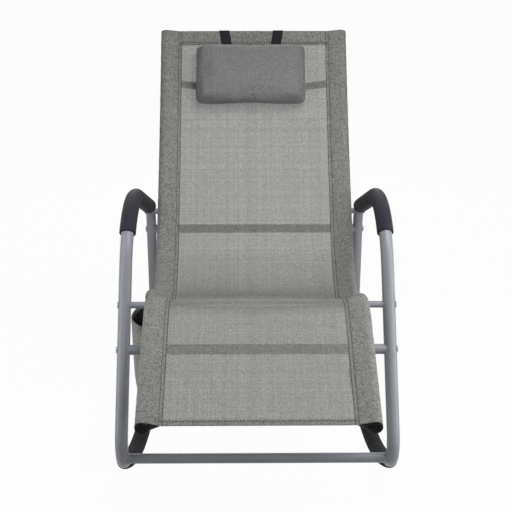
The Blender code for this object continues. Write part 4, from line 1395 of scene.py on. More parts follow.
def open_round(mesh: Mesh, line: Line, radius: float) -> None:
    """Open a round hole in a cloth where a bar passes through it.

    Args:
        mesh: The cloth, still without its wall.
        line: The bar's centre line.
        radius: The hole's radius.
    """
    def way(point: Vector) -> Vector:
        """Return the way to a point from the nearest place on the line."""
        ways = []
        for first, last in zip(line, line[1:]):
            along = last - first
            share = min(1.0, max(0.0, (point - first).dot(along) / along.length_squared))
            ways.append(point - (first + share * along))
        return min(ways, key=lambda step: step.length)

    with edited(mesh) as shape:
        gone = {face for face in shape.faces if way(face.calc_center_median()).length < radius}
        rim = {knot for face in gone for knot in face.verts if not gone.issuperset(knot.link_faces)}
        for knot in rim:
            off = way(knot.co)
            knot.co += off.normalized() * radius - off
        bmesh.ops.delete(shape, geom=list(gone), context="FACES")


@dataclass
class Sling:
    """The full-length mesh sling: one cloth folded round both rails and sewn back to itself."""

    plan: ChairPlan
    rails: SeatRails
    cloth: Material
    thread: Material
    thickness: float = 0.0004
    foot_margin: float = 0.0005
    head_overhang: float = 0.006
    sleeve_width: float = 0.050
    panel_drop: float = 0.0085
    fold: float = 0.0014
    settle: float = 0.0014
    settle_span: float = 0.08
    groove: float = 0.0007
    groove_width: float = 0.0015
    pucker: float = 0.0006
    pucker_at: float = 0.004
    pucker_span: float = 0.018
    slack: float = 0.0007
    slack_at: float = 405.0
    slack_span: float = 50.0
    right_phase: float = 0.4
    left_phase: float = 2.9
    row_step: float = 0.006
    under_steps: int = 7
    wrap_steps: int = 24
    slope_steps: int = 5
    panel_steps: int = 24
    seam_lane: float = 0.0012
    lanes_beside: int = 5
    crest_at: float = 0.437
    crest_span: float = 0.046
    puff_at: float = 0.447
    puff_span: float = 0.036
    puff_behind: float = 0.058
    puff_lean: float = 442.0
    left_puff: float = 0.014
    right_puff: float = 0.003
    window_slack: float = 0.0008
    window_reach: Pair = (0.008, 0.030)
    window_shares: tuple[float, ...] = (0.82, 0.86, 0.90, 0.94)
    top_hem: float = 0.040
    bottom_hem: float = 0.014
    hem_gap: float = 0.0009
    hem_thinning: float = 0.8
    hem_turns: int = 8
    hem_runs: int = 12
    hem_columns: int = 60
    seam_pair: float = 0.0072
    seam_margin: float = 0.0005
    seam_end: float = 0.004
    hem_seams: Pair = (0.003, 0.008)
    stitch_pitch: float = 0.0062
    stitch_length: float = 0.0050
    thread_radius: float = 0.00108
    thread_lift: float = 0.0001

    def __post_init__(self) -> None:
        """Work out the cloth's ends, its seam line and where it leaves the rails."""
        radius, spacing = self.plan.sling_radius, self.plan.rail_spacing
        self.first = self.foot_margin
        self.last = self.plan.rail.length + self.head_overhang
        self.seam_x = spacing + radius - self.sleeve_width
        self.rows = math.ceil((self.last - self.first) / self.row_step)
        self.top_angle = 360.0 + self.touch_angle(radius - self.panel_drop, -1.0)
        self.top_x = spacing + radius * cos(radians(self.top_angle))
        self.top_offset = radius * sin(radians(self.top_angle))
        self.half_section = self._half_section()
        self.columns = 2 * len(self.half_section) - 2
        self.flat_width = 2 * self.half_section[-1][2]

    def touch_angle(self, offset: float, turn: float) -> float:
        """Find where cloth from the seam line meets a rail's round.

        Args:
            offset: The seam line's offset from the rails' plane.
            turn: 1 where the cloth comes from below, -1 from above.

        Returns:
            The angle round the rail.
        """
        reach = self.sleeve_width - self.plan.sling_radius
        spread = degrees(math.acos(self.plan.sling_radius / math.hypot(reach, offset)))
        return 180.0 - degrees(math.atan2(offset, reach)) + turn * spread

    def _half_section(self) -> list[tuple[float, float | None, float]]:
        """Lay out the right half of the cloth's section.

        Returns:
            For each column from the seam below to the middle: x, the angle round the rail or None off it,
            and the distance along the flat cloth. Columns before the rail have a negative angle.
        """
        radius, spacing = self.plan.sling_radius, self.plan.rail_spacing
        under = radius - self.panel_drop - self.fold
        touch = self.touch_angle(under, 1.0)
        meet = Vector((spacing + radius * cos(radians(touch)), radius * sin(radians(touch))))
        self.under_line = (Vector((self.seam_x, under)), meet)
        flat = (meet - self.under_line[0]).length
        section = [(0.0, index / self.under_steps - 1.0, flat * index / self.under_steps)
                   for index in range(self.under_steps)]
        for angle in spaced(touch, self.top_angle, self.wrap_steps)[:-1]:
            section.append((spacing + radius * cos(radians(angle)), angle, flat + radius * radians(angle - touch)))
        flat += radius * radians(self.top_angle - touch)
        seams = [self.seam_x + lane * self.seam_lane for lane in range(self.lanes_beside, -self.lanes_beside - 1, -1)]
        lanes = spaced(self.top_x, seams[0], self.slope_steps)[:-1] + seams
        lanes += spaced(seams[-1], 0.0, self.panel_steps)[1:]
        steep = math.hypot(1.0, (self.top_offset - radius + self.panel_drop) / (self.top_x - self.seam_x))
        for x in lanes:
            sloped = max(x, self.seam_x)
            section.append((x, None, flat + (self.top_x - sloped) * steep + sloped - x))
        return section

    def phase(self, side: float) -> float:
        """Return where the ripples of one side start."""
        return self.right_phase if side > 0 else self.left_phase

    def panel_offset(self, distance: float, x: float) -> float:
        """Find how far the panel lies off the rails' plane, with its settled bends and sewn puckers.

        Args:
            distance: Place along the rails.
            x: Place across the chair.

        Returns:
            The offset to the upper side.
        """
        before = self.plan.rail.at(distance - self.settle_span)[1]
        after = self.plan.rail.at(distance + self.settle_span)[1]
        curvature = radians(after - before) / (2 * self.settle_span)
        taut = self.settle * curvature * (1 - (x / self.plan.rail_spacing) ** 2)
        beside = abs(x) - self.seam_x
        groove = -self.groove * hump(abs(beside), self.seam_pair / 2, self.groove_width)
        pucker = self.pucker * ripple(distance, self.phase(x)) * hump(beside, self.pucker_at, self.pucker_span)
        level = self.plan.sling_radius - self.panel_drop + taut
        climb = max(0.0, beside / (self.top_x - self.seam_x))
        return level + climb * (self.top_offset - level) + groove + pucker * (1 - climb)

    def point(self, x: float, distance: float, lift: float = 0.0) -> Vector:
        """Return a point on the panel, or at a height above it."""
        return self.plan.rail_point(x, distance, self.panel_offset(distance, x) + lift)

    def section(self, column: int) -> tuple[float, float | None, float]:
        """Return a column's x, its angle round the rail or None, and its place on the flat cloth."""
        if column <= self.columns - column:
            return self.half_section[column]
        x, angle, flat = self.half_section[self.columns - column]
        return -x, angle, self.flat_width - flat

    def distance(self, row: int) -> float:
        """Return a row's place along the rails."""
        return self.first + (self.last - self.first) * row / self.rows

    def place(self, column: int, row: int) -> Vector:
        """Find a point of the cloth on the panel, below the rail, or round it with slack and loose fold.

        Args:
            column: Column of the grid.
            row: Row of the grid.

        Returns:
            The point.
        """
        x, angle, _ = self.section(column)
        distance = self.distance(row)
        side = 1.0 if column <= self.columns - column else -1.0
        if angle is None:
            return self.point(x, distance)
        if angle <= 0.0:
            under = self.under_line[0].lerp(self.under_line[1], 1.0 + angle)
            return self.plan.rail_point(side * under.x, distance, under.y)
        slack = self.slack * ripple(distance, self.phase(side) + 1.0) * hump(angle, self.slack_at, self.slack_span)
        span = self.puff_behind if distance > self.puff_at and side < 0 else self.puff_span
        puff = (self.right_puff if side > 0 else self.left_puff) * hump(distance, self.puff_at, span)
        upper = max(0.0, cos(radians(angle - self.puff_lean))) ** 2
        radius = self.plan.sling_radius + slack + puff * upper
        x = side * (self.plan.rail_spacing + radius * cos(radians(angle)))
        return self.plan.rail_point(x, distance, radius * sin(radians(angle)))

    def double(self, column: int, row: int) -> float:
        """Return 1 where two layers lie on each other, and a share about the knee's crest."""
        x, angle, _ = self.section(column)
        distance = self.distance(row)
        sewn = angle is not None or abs(x) - self.seam_x + self.seam_pair / 2 > -self.seam_margin
        hemmed = distance > self.last - self.top_hem or distance < self.first + self.bottom_hem
        return 1.0 if sewn or hemmed else hump(distance, self.crest_at, self.crest_span)

    def build(self) -> None:
        """Make the sling with its hems and seams."""
        mesh = grid_mesh("sling", self.columns, self.rows, self.place,
                         lambda column, row: (self.section(column)[2], self.distance(row)))
        mark(mesh, DOUBLE_MAP,
             [self.double(column, row) for row in range(self.rows + 1) for column in range(self.columns + 1)])
        self.open_windows(mesh)
        sling = add_piece("sling_cloth", thickened(mesh, self.thickness), self.cloth, "sling_mesh", ["sling"],
                          sharp=SOFT_EDGE)
        hems = [self.build_hem("sling_top_hem", self.last, -self.top_hem),
                self.build_hem("sling_bottom_hem", self.first, self.bottom_hem)]
        self.build_seams()

    def open_windows(self, mesh: Mesh) -> None:
        """Open the sleeves where the spacers and the head bar pass through them.

        Args:
            mesh: The cloth, still without its wall.
        """
        bar = self.rails.head_bar_line(self.plan.rail_spacing)
        for side in Side:
            for joint in self.rails.joints():
                core = self.plan.rail_point(side.value * self.plan.rail_spacing, joint.on_rail)
                line = [core + side.value * reach * ACROSS for reach in self.window_reach]
                open_round(mesh, line, self.rails.spacer_od / 2 + self.window_slack)
            line = [bar(side.value * share)[0] for share in self.window_shares]
            open_round(mesh, line, self.rails.head_bar_od / 2 + self.window_slack)

    def build_hem(self, name: str, edge: float, depth: float) -> Object:
        """Make the part of the cloth that is folded back at one end.

        Args:
            name: The piece's name.
            edge: Place along the rails where the cloth folds.
            depth: How far it runs back, negative towards the foot.

        Returns:
            The hem.
        """
        outward = -1.0 if depth > 0 else 1.0
        turns, runs, columns = self.hem_turns, self.hem_runs, self.hem_columns
        radius = self.hem_gap / 2

        def line(row: int) -> tuple[float, float, float]:
            """Return a row's place along the rails, its drop and its distance on the flat hem."""
            if row <= turns:
                angle = pi * row / turns
                return edge + outward * radius * sin(angle), radius * cos(angle) - radius, radius * angle
            share = (row - turns) / runs
            return edge + depth * share, -2 * radius, pi * radius + abs(depth) * share

        mesh = grid_mesh(name, columns, turns + runs,
                         lambda column, row: self.point(self.seam_x * (2 * column / columns - 1), *line(row)[:2]),
                         lambda column, row: (self.seam_x * 2 * column / columns, edge + outward * line(row)[2]))
        return add_piece(name, thickened(mesh, self.thickness * self.hem_thinning), self.cloth, "sling_mesh",
                         sharp=SOFT_EDGE)

    def build_seams(self) -> None:
        """Sew the double seams beside the rails and the hems' seams, on both faces of the cloth."""
        lift = self.thickness / 2 + self.thread_lift
        along = spaced(self.first + self.seam_end, self.last - self.seam_end, 3 * self.rows)
        across = spaced(-self.seam_x, self.seam_x, 2 * self.hem_columns)
        lines = []
        for side in Side:
            for shift in (-0.5, 0.5):
                x = side.value * (self.seam_x + shift * self.seam_pair)
                for height in (lift, -lift - self.fold / 2):
                    lines.append([self.point(x, distance, height) for distance in along])
        hems = [self.last - self.top_hem + seam for seam in self.hem_seams]
        for distance in (*hems, self.first + self.bottom_hem - self.hem_seams[0]):
            for height in (lift, -lift - self.hem_gap):
                lines.append([self.point(x, distance, height) for x in across])
        mesh = stitch_tree().run(line_mesh("seam_lines", lines), pitch=self.stitch_pitch, length=self.stitch_length,
                                 radius=self.thread_radius, thread=self.thread)
        add_piece("sling_stitching", mesh, self.thread, "sling_mesh", sharp=SOFT_EDGE)


@dataclass
class Headrest:
    """The stuffed headrest pillow, and the two straps that hang it over the top hem."""

    plan: ChairPlan
    sling: Sling
    cloth: Material
    webbing: Material
    plastic: Material
    width: float = 0.289
    height: float = 0.166
    depth: float = 0.060
    back: float = 0.015
    edge: float = 0.006
    draw_in: float = 0.0006
    corner_cut: float = 0.002
    low_corners: float = 2.0
    high_corners: float = -1.0
    side_crown: int = 14
    low_crown: int = 12
    high_crown: int = 8
    offset_x: float = -0.0085
    below_top: float = 0.0545
    stand_off: float = 0.0037
    cuts: int = 15
    voxel: float = 0.005
    fill: float = 0.75
    pressure: float = 2.4
    stiffness: float = 15.0
    frames: int = 20
    easing: int = 5
    swell_cap: float = 0.006
    start_scale: float = 0.99
    welt: float = 0.0016
    welt_width: float = 1.15
    welt_steps: int = 120
    welt_beam: float = 0.006
    welt_band: float = 0.02
    welt_passes: int = 3
    strap_width: float = STRAP_WIDTH
    strap_thickness: float = 0.0012
    strap_spacing: float = 0.140
    strap_offset_x: float = -0.0061
    strap_front: float = 0.100
    strap_back: float = 0.095
    strap_gap: float = 0.0004
    strap_slant: float = 9.5
    slant_about: float = 0.098
    strap_columns: int = 6
    strap_steps: int = 20
    strap_turns: int = 10
    strap_sharp: float = 50.0
    tail_steps: int = 4
    tail_drop: float = 0.0006
    ring_width: float = 0.036
    ring_height: float = 0.024
    ring_bar: float = 0.004
    ring_corner: float = 0.0035
    ring_flat: float = 0.9
    corner_steps: int = 6
    cord_sides: int = 12

    def __post_init__(self) -> None:
        """Work out where the pillow rests and how it leans."""
        distance = self.sling.last - self.below_top - self.height / 2
        self.up, self.out = self.plan.rail_axes(distance)
        self.origin = self.sling.point(self.offset_x, distance, self.stand_off)

    def world(self, point: Vector) -> Vector:
        """Return the place of a point given across, up and out from the pillow's back."""
        return self.origin + point.x * ACROSS + point.y * self.up + point.z * self.out

    def local(self, point: Vector) -> Vector:
        """Return a point's distances across, up and out from the pillow's back."""
        rest = point - self.origin
        return Vector((rest.x, rest.dot(self.up), rest.dot(self.out)))

    def build(self) -> None:
        """Make the pillow, its welt and its straps."""
        mesh = self.pillow_mesh()
        pillow = add_piece("headrest_cushion", mesh, self.cloth, "pillow_cover", ["headrest_pillow"],
                           HEADREST_BODY, SOFT_EDGE)
        self.build_welt(mesh)
        for side in Side:
            self.build_strap(side)

    def start_point(self, across: float, up: float, out: float) -> Vector:
        """Shape the pillow before it is filled: crowned in front, flat behind, drawn in between its corners.

        Args:
            across: Place on a cube, from -1 to 1.
            up: The same, upwards.
            out: The same, out from the back.

        Returns:
            The point, across, up and out from the pillow's back.
        """
        corner = self.corner_cut * abs(across * up) ** 6 * (self.low_corners if up < 0 else self.high_corners)
        draw_x = self.draw_in * (1 - up ** 2) * abs(across) ** 3 + corner
        draw_y = self.draw_in * (1 - across ** 2) * abs(up) ** 3 + corner
        crown = self.low_crown if up < 0 else self.high_crown
        swell = math.sqrt(max(0.0, (1 - across ** self.side_crown) * (1 - up ** crown)))
        front = self.edge / 2 + (self.depth - self.edge - self.back) * swell * self.start_scale
        rear = self.edge / 2 + self.back * swell
        return Vector((across * (self.width / 2 - draw_x) * self.start_scale,
                       up * (self.height / 2 - draw_y) * self.start_scale,
                       (front * (1 + out) - rear * (1 - out)) / 2 + self.edge / 2 + self.back))

    def pillow_mesh(self) -> Mesh:
        """Return the filled pillow in the chair's place, with a weave map on its panels."""
        mesh = bpy.data.meshes.new("pillow_start")
        with edited(mesh) as shape:
            bmesh.ops.create_cube(shape, size=2.0)
            bmesh.ops.subdivide_edges(shape, edges=shape.edges, cuts=self.cuts, use_grid_fill=True)
            for knot in shape.verts:
                knot.co = self.start_point(*knot.co)
        holder = put("work", mesh)
        modify(holder, "REMESH", mode="VOXEL", voxel_size=self.voxel)
        mesh = baked(holder)
        before = [knot.co.copy() for knot in mesh.vertices]
        mesh = self.filled(mesh)
        for knot, start in zip(mesh.vertices, before):
            move = knot.co - start
            if move.length > self.swell_cap:
                move *= self.swell_cap / move.length
            place = start + move
            place.z = max(0.0, place.z)
            knot.co = place
        holder = put("work", mesh)
        modify(holder, "SMOOTH", factor=0.5, iterations=self.easing)
        modify(holder, "SUBSURF", levels=1, render_levels=1)
        mesh = baked(holder)
        map_weave(mesh, self.box_map)
        for knot in mesh.vertices:
            knot.co = self.world(knot.co)
        tidy_mesh(mesh, merge=False)
        return mesh

    @staticmethod
    def box_map(point: Vector, normal: Vector) -> Pair:
        """Return a point's place on the panel of the cover that a normal faces most nearly."""
        x, y, z = (abs(part) for part in normal)
        if z >= max(x, y):
            return point.x, point.y
        return (point.x, point.z) if y >= x else (point.z, point.y)

    def filled(self, mesh: Mesh) -> Mesh:
        """Blow the pillow up by a short cloth simulation.

        Args:
            mesh: The pillow at the start.

        Returns:
            The filled pillow.
        """
        scene = bpy.context.scene
        holder = put("work", mesh)
        settings = holder.modifiers.new("fill", "CLOTH").settings
        settings.use_pressure = True
        settings.uniform_pressure_force = self.pressure
        settings.effector_weights.gravity = 0.0
        settings.tension_stiffness = self.stiffness
        settings.compression_stiffness = self.stiffness
        for step in range(1, self.frames + 1):
            scene.frame_set(step)
        result = baked(holder)
        scene.frame_set(1)
        return result

    def build_welt(self, mesh: Mesh) -> None:
        """Make the welt round the pillow's edge, where its front and back meet.

        Args:
            mesh: The filled pillow.
        """
        places = [self.local(knot.co) for knot in mesh.vertices]
        middle = self.back + self.edge / 2
        steps = range(self.welt_steps)
        ring = []
        for index in steps:
            angle = 2 * pi * index / self.welt_steps
            beam = Vector((cos(angle) / self.height, sin(angle) / self.width)).normalized()
            ring.append(max(places, key=lambda place: hump(place.x * beam.y - place.y * beam.x, 0.0, self.welt_beam)
                            * max(0.0, place.x * beam.x + place.y * beam.y) * hump(place.z, middle, self.welt_band)))
        for _ in range(self.welt_passes):
            ring = [(ring[index - 1] + 2 * ring[index] + ring[(index + 1) % len(ring)]) / 4 for index in steps]

        def flat(point: Vector, _: Vector) -> Pair:
            """Return a point's place on the flat cover."""
            place = self.local(point)
            return place.x + place.z, place.y

        welt = ring_sweep("welt", [self.world(place) for place in ring], [self.welt] * len(ring), self.out,
                          self.cord_sides, (self.welt_width, 1.0))
        map_weave(welt, flat)
        add_piece("headrest_welt", welt, self.cloth, "pillow_cover", (), HEADREST_BODY, SOFT_EDGE)

    def strap_line(self, x: float) -> tuple[list[Pair], float, float]:
        """Lay a strap from behind the pillow over the top hem, round its ring and back up.

        Args:
            x: The strap's place across.

        Returns:
            Pairs of distance and offset, and the distance and offset of the ring's bar.
        """
        sling = self.sling
        off = sling.thickness / 2 + self.strap_gap + self.strap_thickness / 2
        first, last, low = sling.last - self.strap_front, sling.last, sling.last - self.strap_back
        front, rear = spaced(first, last, self.strap_steps), spaced(last, low, self.strap_steps)
        turn = spaced(0.0, pi, self.strap_turns)[1:-1]
        hem = sling.panel_offset(last, x)
        radius = self.ring_bar / 2 + self.strap_gap + self.strap_thickness / 2
        bar = sling.panel_offset(low, x) - off - radius
        line = [(distance, sling.panel_offset(distance, x) + off) for distance in front]
        line += [(last + off * sin(angle), hem + off * cos(angle)) for angle in turn]
        line += [(distance, sling.panel_offset(distance, x) - off) for distance in rear]
        line += [(low - radius * sin(angle), bar + radius * cos(angle)) for angle in turn]
        line += [(low + self.ring_height * index / self.tail_steps, bar - radius - self.tail_drop * index)
                 for index in range(self.tail_steps + 1)]
        return line, low, bar

    def build_strap(self, side: Side) -> None:
        """Make one slanting strap with the ring at its end.

        Args:
            side: The side.
        """
        slope = side.value * tan(radians(self.strap_slant))
        base = self.strap_offset_x + side.value * self.strap_spacing / 2
        line, low, bar = self.strap_line(base)
        last, columns = self.sling.last, self.strap_columns
        top = self.strap_steps + 1 + self.strap_turns // 2
        wide = self.strap_width / cos(radians(self.strap_slant))
        lengths = running([Vector(pair) for pair in line])

        def centre(distance: float, behind: bool) -> float:
            """Return the strap's slanting place across."""
            run = self.strap_front + (last - distance if behind else distance - last)
            return base + slope * (run - self.slant_about)

        def place(column: int, row: int) -> Vector:
            """Return a point of the strap."""
            x = centre(line[row][0], row >= top) + (column / columns - 0.5) * wide
            return self.plan.rail_point(x, *line[row])

        mesh = grid_mesh("strap", columns, len(line) - 1, place,
                         lambda column, row: ((column / columns - 0.5) * self.strap_width, lengths[row]))
        add_piece(side.word + "_headrest_webbing", thickened(mesh, self.strap_thickness), self.webbing,
                  "black_webbing", ["pillow_strap_" + side.word], sharp=self.strap_sharp)
        self.build_ring(side, self.plan.rail_point(centre(low, True), low, bar), low)

    def build_ring(self, side: Side, middle: Vector, distance: float) -> None:
        """Make the slider ring whose lower bar the strap turns round.

        Args:
            side: The side.
            middle: The middle of the lower bar.
            distance: The bar's place along the rails.
        """
        lean = radians(self.strap_slant) * side.value
        up, out = self.plan.rail_axes(distance)
        wide = cos(lean) * ACROSS + sin(lean) * up
        tall = cos(lean) * up - sin(lean) * ACROSS
        inset = self.ring_corner
        half = (self.ring_width - self.ring_bar) / 2 - inset
        top = self.ring_height - self.ring_bar - inset
        loop = []
        for x, y, begin in ((half, inset, -90.0), (half, top, 0.0), (-half, top, 90.0), (-half, inset, 180.0)):
            loop += [Vector((x, y)) + inset * ray(angle) for angle in spaced(begin, begin + 90.0, self.corner_steps)]
        mesh = ring_sweep("ring", [middle + place.x * wide + place.y * tall for place in loop],
                          [self.ring_bar / 2] * len(loop), out, self.cord_sides, (1.0, self.ring_flat))
        add_piece(side.word + "_webbing_slider", mesh, self.plastic, "black_plastic", ["strap_buckle_" + side.word])


@dataclass
class SidePocket:
    """The open pocket that hangs outside the left rail."""

    plan: ChairPlan
    cloth: Material
    front_y: float = 0.118
    length: float = 0.200
    bulge: float = 0.034
    bulge_forward: float = 0.756
    wrinkle: float = 0.05
    wrinkle_waves: Pair = (9.0, 4.0)
    lip_drop: float = 0.055
    depth: float = 0.235
    taper: float = 0.026
    pinch: float = 0.3
    wall: float = 0.0006
    stand_off: float = 0.0018
    binding: float = 0.013
    binding_half: float = 0.0013
    binding_rise: float = 0.06
    binding_sides: int = 16
    girth_at: float = 0.3
    columns: int = 96
    rows: int = 36
    tolerance: float = 0.00005

    def __post_init__(self) -> None:
        """Work out the inner wall's place and the lip's height."""
        self.inner_x = -(self.plan.rail_spacing + self.plan.sling_radius + self.stand_off)
        self.lip = self.rail_height(self.front_y) - self.lip_drop

    def rail_height(self, y: float) -> float:
        """Find how high a rail's centre line runs.

        Args:
            y: Place along the chair.

        Returns:
            The height.
        """
        low, high = 0.0, self.plan.rail.length
        while high - low > self.tolerance:
            middle = (low + high) / 2
            if self.plan.rail.at(middle)[0].x < y:
                low = middle
            else:
                high = middle
        return self.plan.rail.at(low)[0].y

    def point(self, column: float, depth: float) -> Vector:
        """Find a point of the pocket's wall.

        Args:
            column: Share of the way round, from the front over the outside.
            depth: Share of the way down from the lip.

        Returns:
            The point.
        """
        angle = 2 * pi * column
        along = (1 - cos(angle)) / 2
        outer = 0.0 < column < 0.5
        y = self.front_y + self.length * along + self.taper * depth ** 2 * cos(angle)
        swell = sin(pi * max(along, 0.0) ** self.bulge_forward)
        top = self.lip if outer else min(self.lip, self.rail_height(self.front_y + self.length * along))
        push = self.pinch * depth ** 6
        if outer:
            push += (1 - depth ** 6) * math.sqrt(max(0.0, 1 - depth ** 4))
            wave = self.wrinkle_waves[0] * along + self.wrinkle_waves[1] * depth
            push += self.wrinkle * sin(wave) * sin(pi * depth)
        x = self.inner_x - self.bulge * swell * push
        return Vector((x, y - self.plan.centre_y, top - (top - self.lip + self.depth) * depth))

    def ring(self, depth: float) -> Line:
        """Return the points round the pocket at a share of the way down."""
        return [self.point(column / self.columns, depth) for column in range(self.columns)]

    def build(self) -> None:
        """Make the pocket and the binding of its lip."""
        band = self.ring(self.girth_at)
        girth = running(band + band[:1])
        rings = [self.ring(row / self.rows) for row in range(self.rows + 1)]
        mesh = grid_mesh("pocket", self.columns, self.rows, lambda column, row: rings[row][column % self.columns],
                         lambda column, row: (girth[column], self.depth * row / self.rows))
        tidy_mesh(mesh)
        closed = thickened(mesh, self.wall)
        self.shade_inside(closed, len(mesh.vertices))
        pocket = add_piece("left_side_pocket", closed, self.cloth, "sling_mesh", ["side_pocket"], sharp=SOFT_EDGE)
        binding = self.build_binding()

    @staticmethod
    def shade_inside(mesh: Mesh, count: int) -> None:
        """Close the weave of the pocket, and mark the wall that faces its inside, which the cloth darkens as painted
        shade.

        Args:
            mesh: The pocket with its two walls.
            count: The number of points of one wall.
        """
        middle = sum((knot.co for knot in mesh.vertices), Vector()) / len(mesh.vertices)
        reach = [sum((knot.co - middle).length for knot in part)
                 for part in (mesh.vertices[:count], mesh.vertices[count:2 * count])]
        first = 1.0 if reach[0] < reach[1] else 0.0
        mark(mesh, PAINTED_SHADE_MAP, [first if index < count else 1.0 - first for index in range(len(mesh.vertices))])
        mark(mesh, DOUBLE_MAP, [1.0] * len(mesh.vertices))

    def build_binding(self) -> Object:
        """Make the folded band that binds the lip, and return it."""
        lip, below = self.ring(0.0), self.ring(self.binding / self.depth)

        def frame(index: float) -> Axes:
            """Return the band's centre, and its cross directions with their half sizes."""
            top, low = lip[int(index)], below[int(index)]
            across = along_ring(lip, index).cross(top - low).normalized()
            return (top + low) / 2 + (top - low) * self.binding_rise, across * self.binding_half, (top - low) * 0.5

        mesh = sweep("binding", [(index, 1.0) for index in range(self.columns)], frame, self.binding_sides,
                     closed=True)
        map_weave(mesh, lambda point, _: (point.y, point.z))
        return add_piece("left_pocket_binding", mesh, self.cloth, "sling_mesh", sharp=SOFT_EDGE)


# Studio

@dataclass(frozen=True)
class Softbox:
    """One soft lamp."""

    name: str
    place: Colour
    aim: Colour
    size: Pair
    power: float

    def build(self) -> None:
        """Put the lamp in the scene."""
        lamp = bpy.data.lights.new(self.name, "AREA")
        lamp.shape = "RECTANGLE"
        lamp.size, lamp.size_y = self.size
        lamp.energy = self.power
        holder = put(self.name, lamp)
        holder.location = self.place
        holder.visible_camera = False
        holder.rotation_euler = (Vector(self.aim) - Vector(self.place)).to_track_quat("-Z", "Y").to_euler()


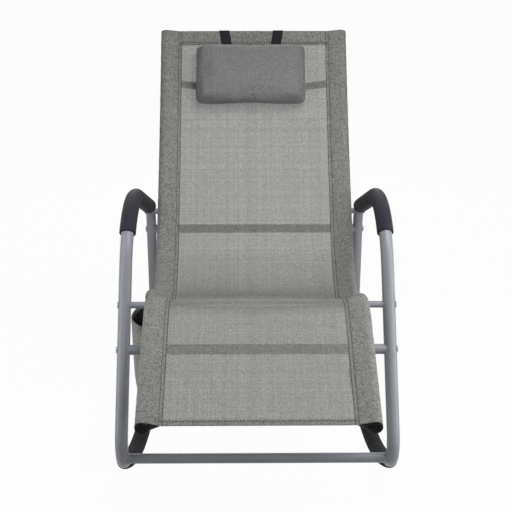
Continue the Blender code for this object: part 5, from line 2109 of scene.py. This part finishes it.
@dataclass
class Studio:
    """White sweep, soft lamps and the camera."""

    focal: float = 1413.7
    sensor: float = 36.0
    image: float = 512.0
    camera_place: Colour = (-0.031, -3.1244, 1.416)
    camera_turn: Colour = (73.0, 0.0, -0.576)
    floor_half: float = 9.0
    floor_colour: Colour = (0.66, 0.66, 0.66)
    floor_glow: float = 0.97
    world_light: float = 0.05
    lamps: tuple[Softbox, ...] = (
        Softbox("right_softbox", (0.80, -0.42, 0.75), (0.0, -0.15, 0.55), (0.3, 1.4), 6.4),
        Softbox("left_softbox", (-0.80, -0.42, 0.75), (0.0, -0.15, 0.55), (0.3, 1.4), 4.6),
        Softbox("top_softbox", (0.85, -1.0, 3.1), (0.0, 0.0, 0.4), (1.5, 1.2), 48.0),
        Softbox("back_softbox", (0.0, 2.8, 1.9), (0.0, 0.0, 0.5), (2.0, 1.4), 30.0),
        Softbox("front_softbox", (0.5, -3.4, 1.6), (0.0, 0.0, 0.4), (1.0, 0.9), 9.0),
    )

    def build(self) -> None:
        """Set up the light, the floor and the camera."""
        scene = bpy.context.scene
        scene.view_settings.view_transform = "Standard"
        self.build_world()
        self.build_floor()
        for lamp in self.lamps:
            lamp.build()
        camera = bpy.data.cameras.new("photo_camera")
        camera.sensor_width = self.sensor
        camera.lens = self.focal * self.sensor / self.image
        holder = put("photo_camera", camera)
        holder.location = self.camera_place
        holder.rotation_euler = [radians(angle) for angle in self.camera_turn]
        scene.camera = holder

    @staticmethod
    def seen_directly(tree: NodeTree) -> Sock:
        """Return 1 on rays from the camera, a mirror or a clear surface."""
        path = tree.nodes.new("ShaderNodeLightPath")
        camera, glossy, clear = (Sock(tree, path.outputs[f"Is {kind} Ray"])
                                 for kind in ("Camera", "Glossy", "Transmission"))
        return camera.larger(glossy).larger(clear)

    def build_world(self) -> None:
        """Make a world that is white behind the chair and lights it plainly."""
        world = bpy.data.worlds.new("studio_world")
        bpy.context.scene.world = world
        world.use_nodes = True
        tree = world.node_tree
        tree.nodes.clear()
        strength = self.world_light + (1.0 - self.world_light) * self.seen_directly(tree)
        ground = add_node(tree, "ShaderNodeBackground", {}, {"Color": WHITE, "Strength": strength})
        add_node(tree, "ShaderNodeOutputWorld", {}, {"Surface": ground.outputs[0]})

    def build_floor(self) -> None:
        """Make the white floor, which keeps a faint shadow."""
        half = self.floor_half
        corners = [(-half, -half, 0.0), (half, -half, 0.0), (half, half, 0.0), (-half, half, 0.0)]
        mesh = raw_mesh("studio_floor", corners, [], [(0, 1, 2, 3)])
        nodes = FinishNodes("floor_white")
        paper = nodes.add("ShaderNodeBsdfDiffuse", {}, {"Color": self.floor_colour})
        glow = nodes.add("ShaderNodeEmission", {}, {"Color": WHITE, "Strength": 1.0})
        share = self.seen_directly(nodes.tree) * self.floor_glow
        both = nodes.add("ShaderNodeMixShader", {}, {"Fac": share, 1: paper, 2: glow})
        nodes.add("ShaderNodeOutputMaterial", {}, {"Surface": both})
        mesh.materials.append(nodes.material)
        put("studio_floor", mesh)


def dress_hidden_nodes(plastic: Material, zinc: Material) -> None:
    """Give the CAD pieces that stay inside the tubes their finishes."""
    finishes = {"rail_head_plug": plastic, "front_cross_bar_insert": zinc, "rear_cross_bar_insert": zinc,
                "knee_nut": zinc, "arm_nut": zinc}
    for name, finish in finishes.items():
        for side in Side:
            for slot in bpy.data.objects[f"{name}_{side.word}"].material_slots:
                slot.material = finish
            LOG.info("%s_%s: dressed", name, side.word)


def main() -> None:
    """Build the chair round its frame."""
    logging.basicConfig(level=logging.INFO, format="%(message)s")
    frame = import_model()
    paint = SatinPaint("satin_grey_paint", (0.250, 0.262, 0.285)).make()
    foam = FoamRubber("black_arm_foam", (0.0255, 0.0265, 0.0322)).make()
    rubber = FoamRubber("black_runner_rubber", (0.0082, 0.0087, 0.0110), roughness=0.56, pore=1100.0, depth=0.25,
                        gloss=0.03).make()
    plastic = MouldedPlastic("black_moulding", (0.0062, 0.0062, 0.0079)).make()
    zinc = ZincSteel("zinc_plate", (0.30, 0.31, 0.33)).make()
    cloth = MeshCloth("grey_mesh_cloth", (0.308, 0.307, 0.289)).make()
    cover = MeshCloth("grey_pillow_cloth", (0.230, 0.230, 0.226), yarn=1.02, melange=0.42).make()
    thread = Thread("dark_thread", (0.028, 0.028, 0.030)).make()
    webbing = Webbing("black_strap_webbing", (0.0220, 0.0232, 0.0278), STRAP_WIDTH).make()
    plan = ChairPlan()
    Studio().build()
    frames = SideFrames(plan, paint, foam, rubber)
    frames.build()
    rails = SeatRails(plan, frames, paint, plastic, zinc)
    rails.build()
    sling = Sling(plan, rails, cloth, thread)
    sling.build()
    Headrest(plan, sling, cover, webbing, plastic).build()
    SidePocket(plan, cloth).build()
    dress_hidden_nodes(plastic, zinc)


if __name__ == "__main__":
    main()
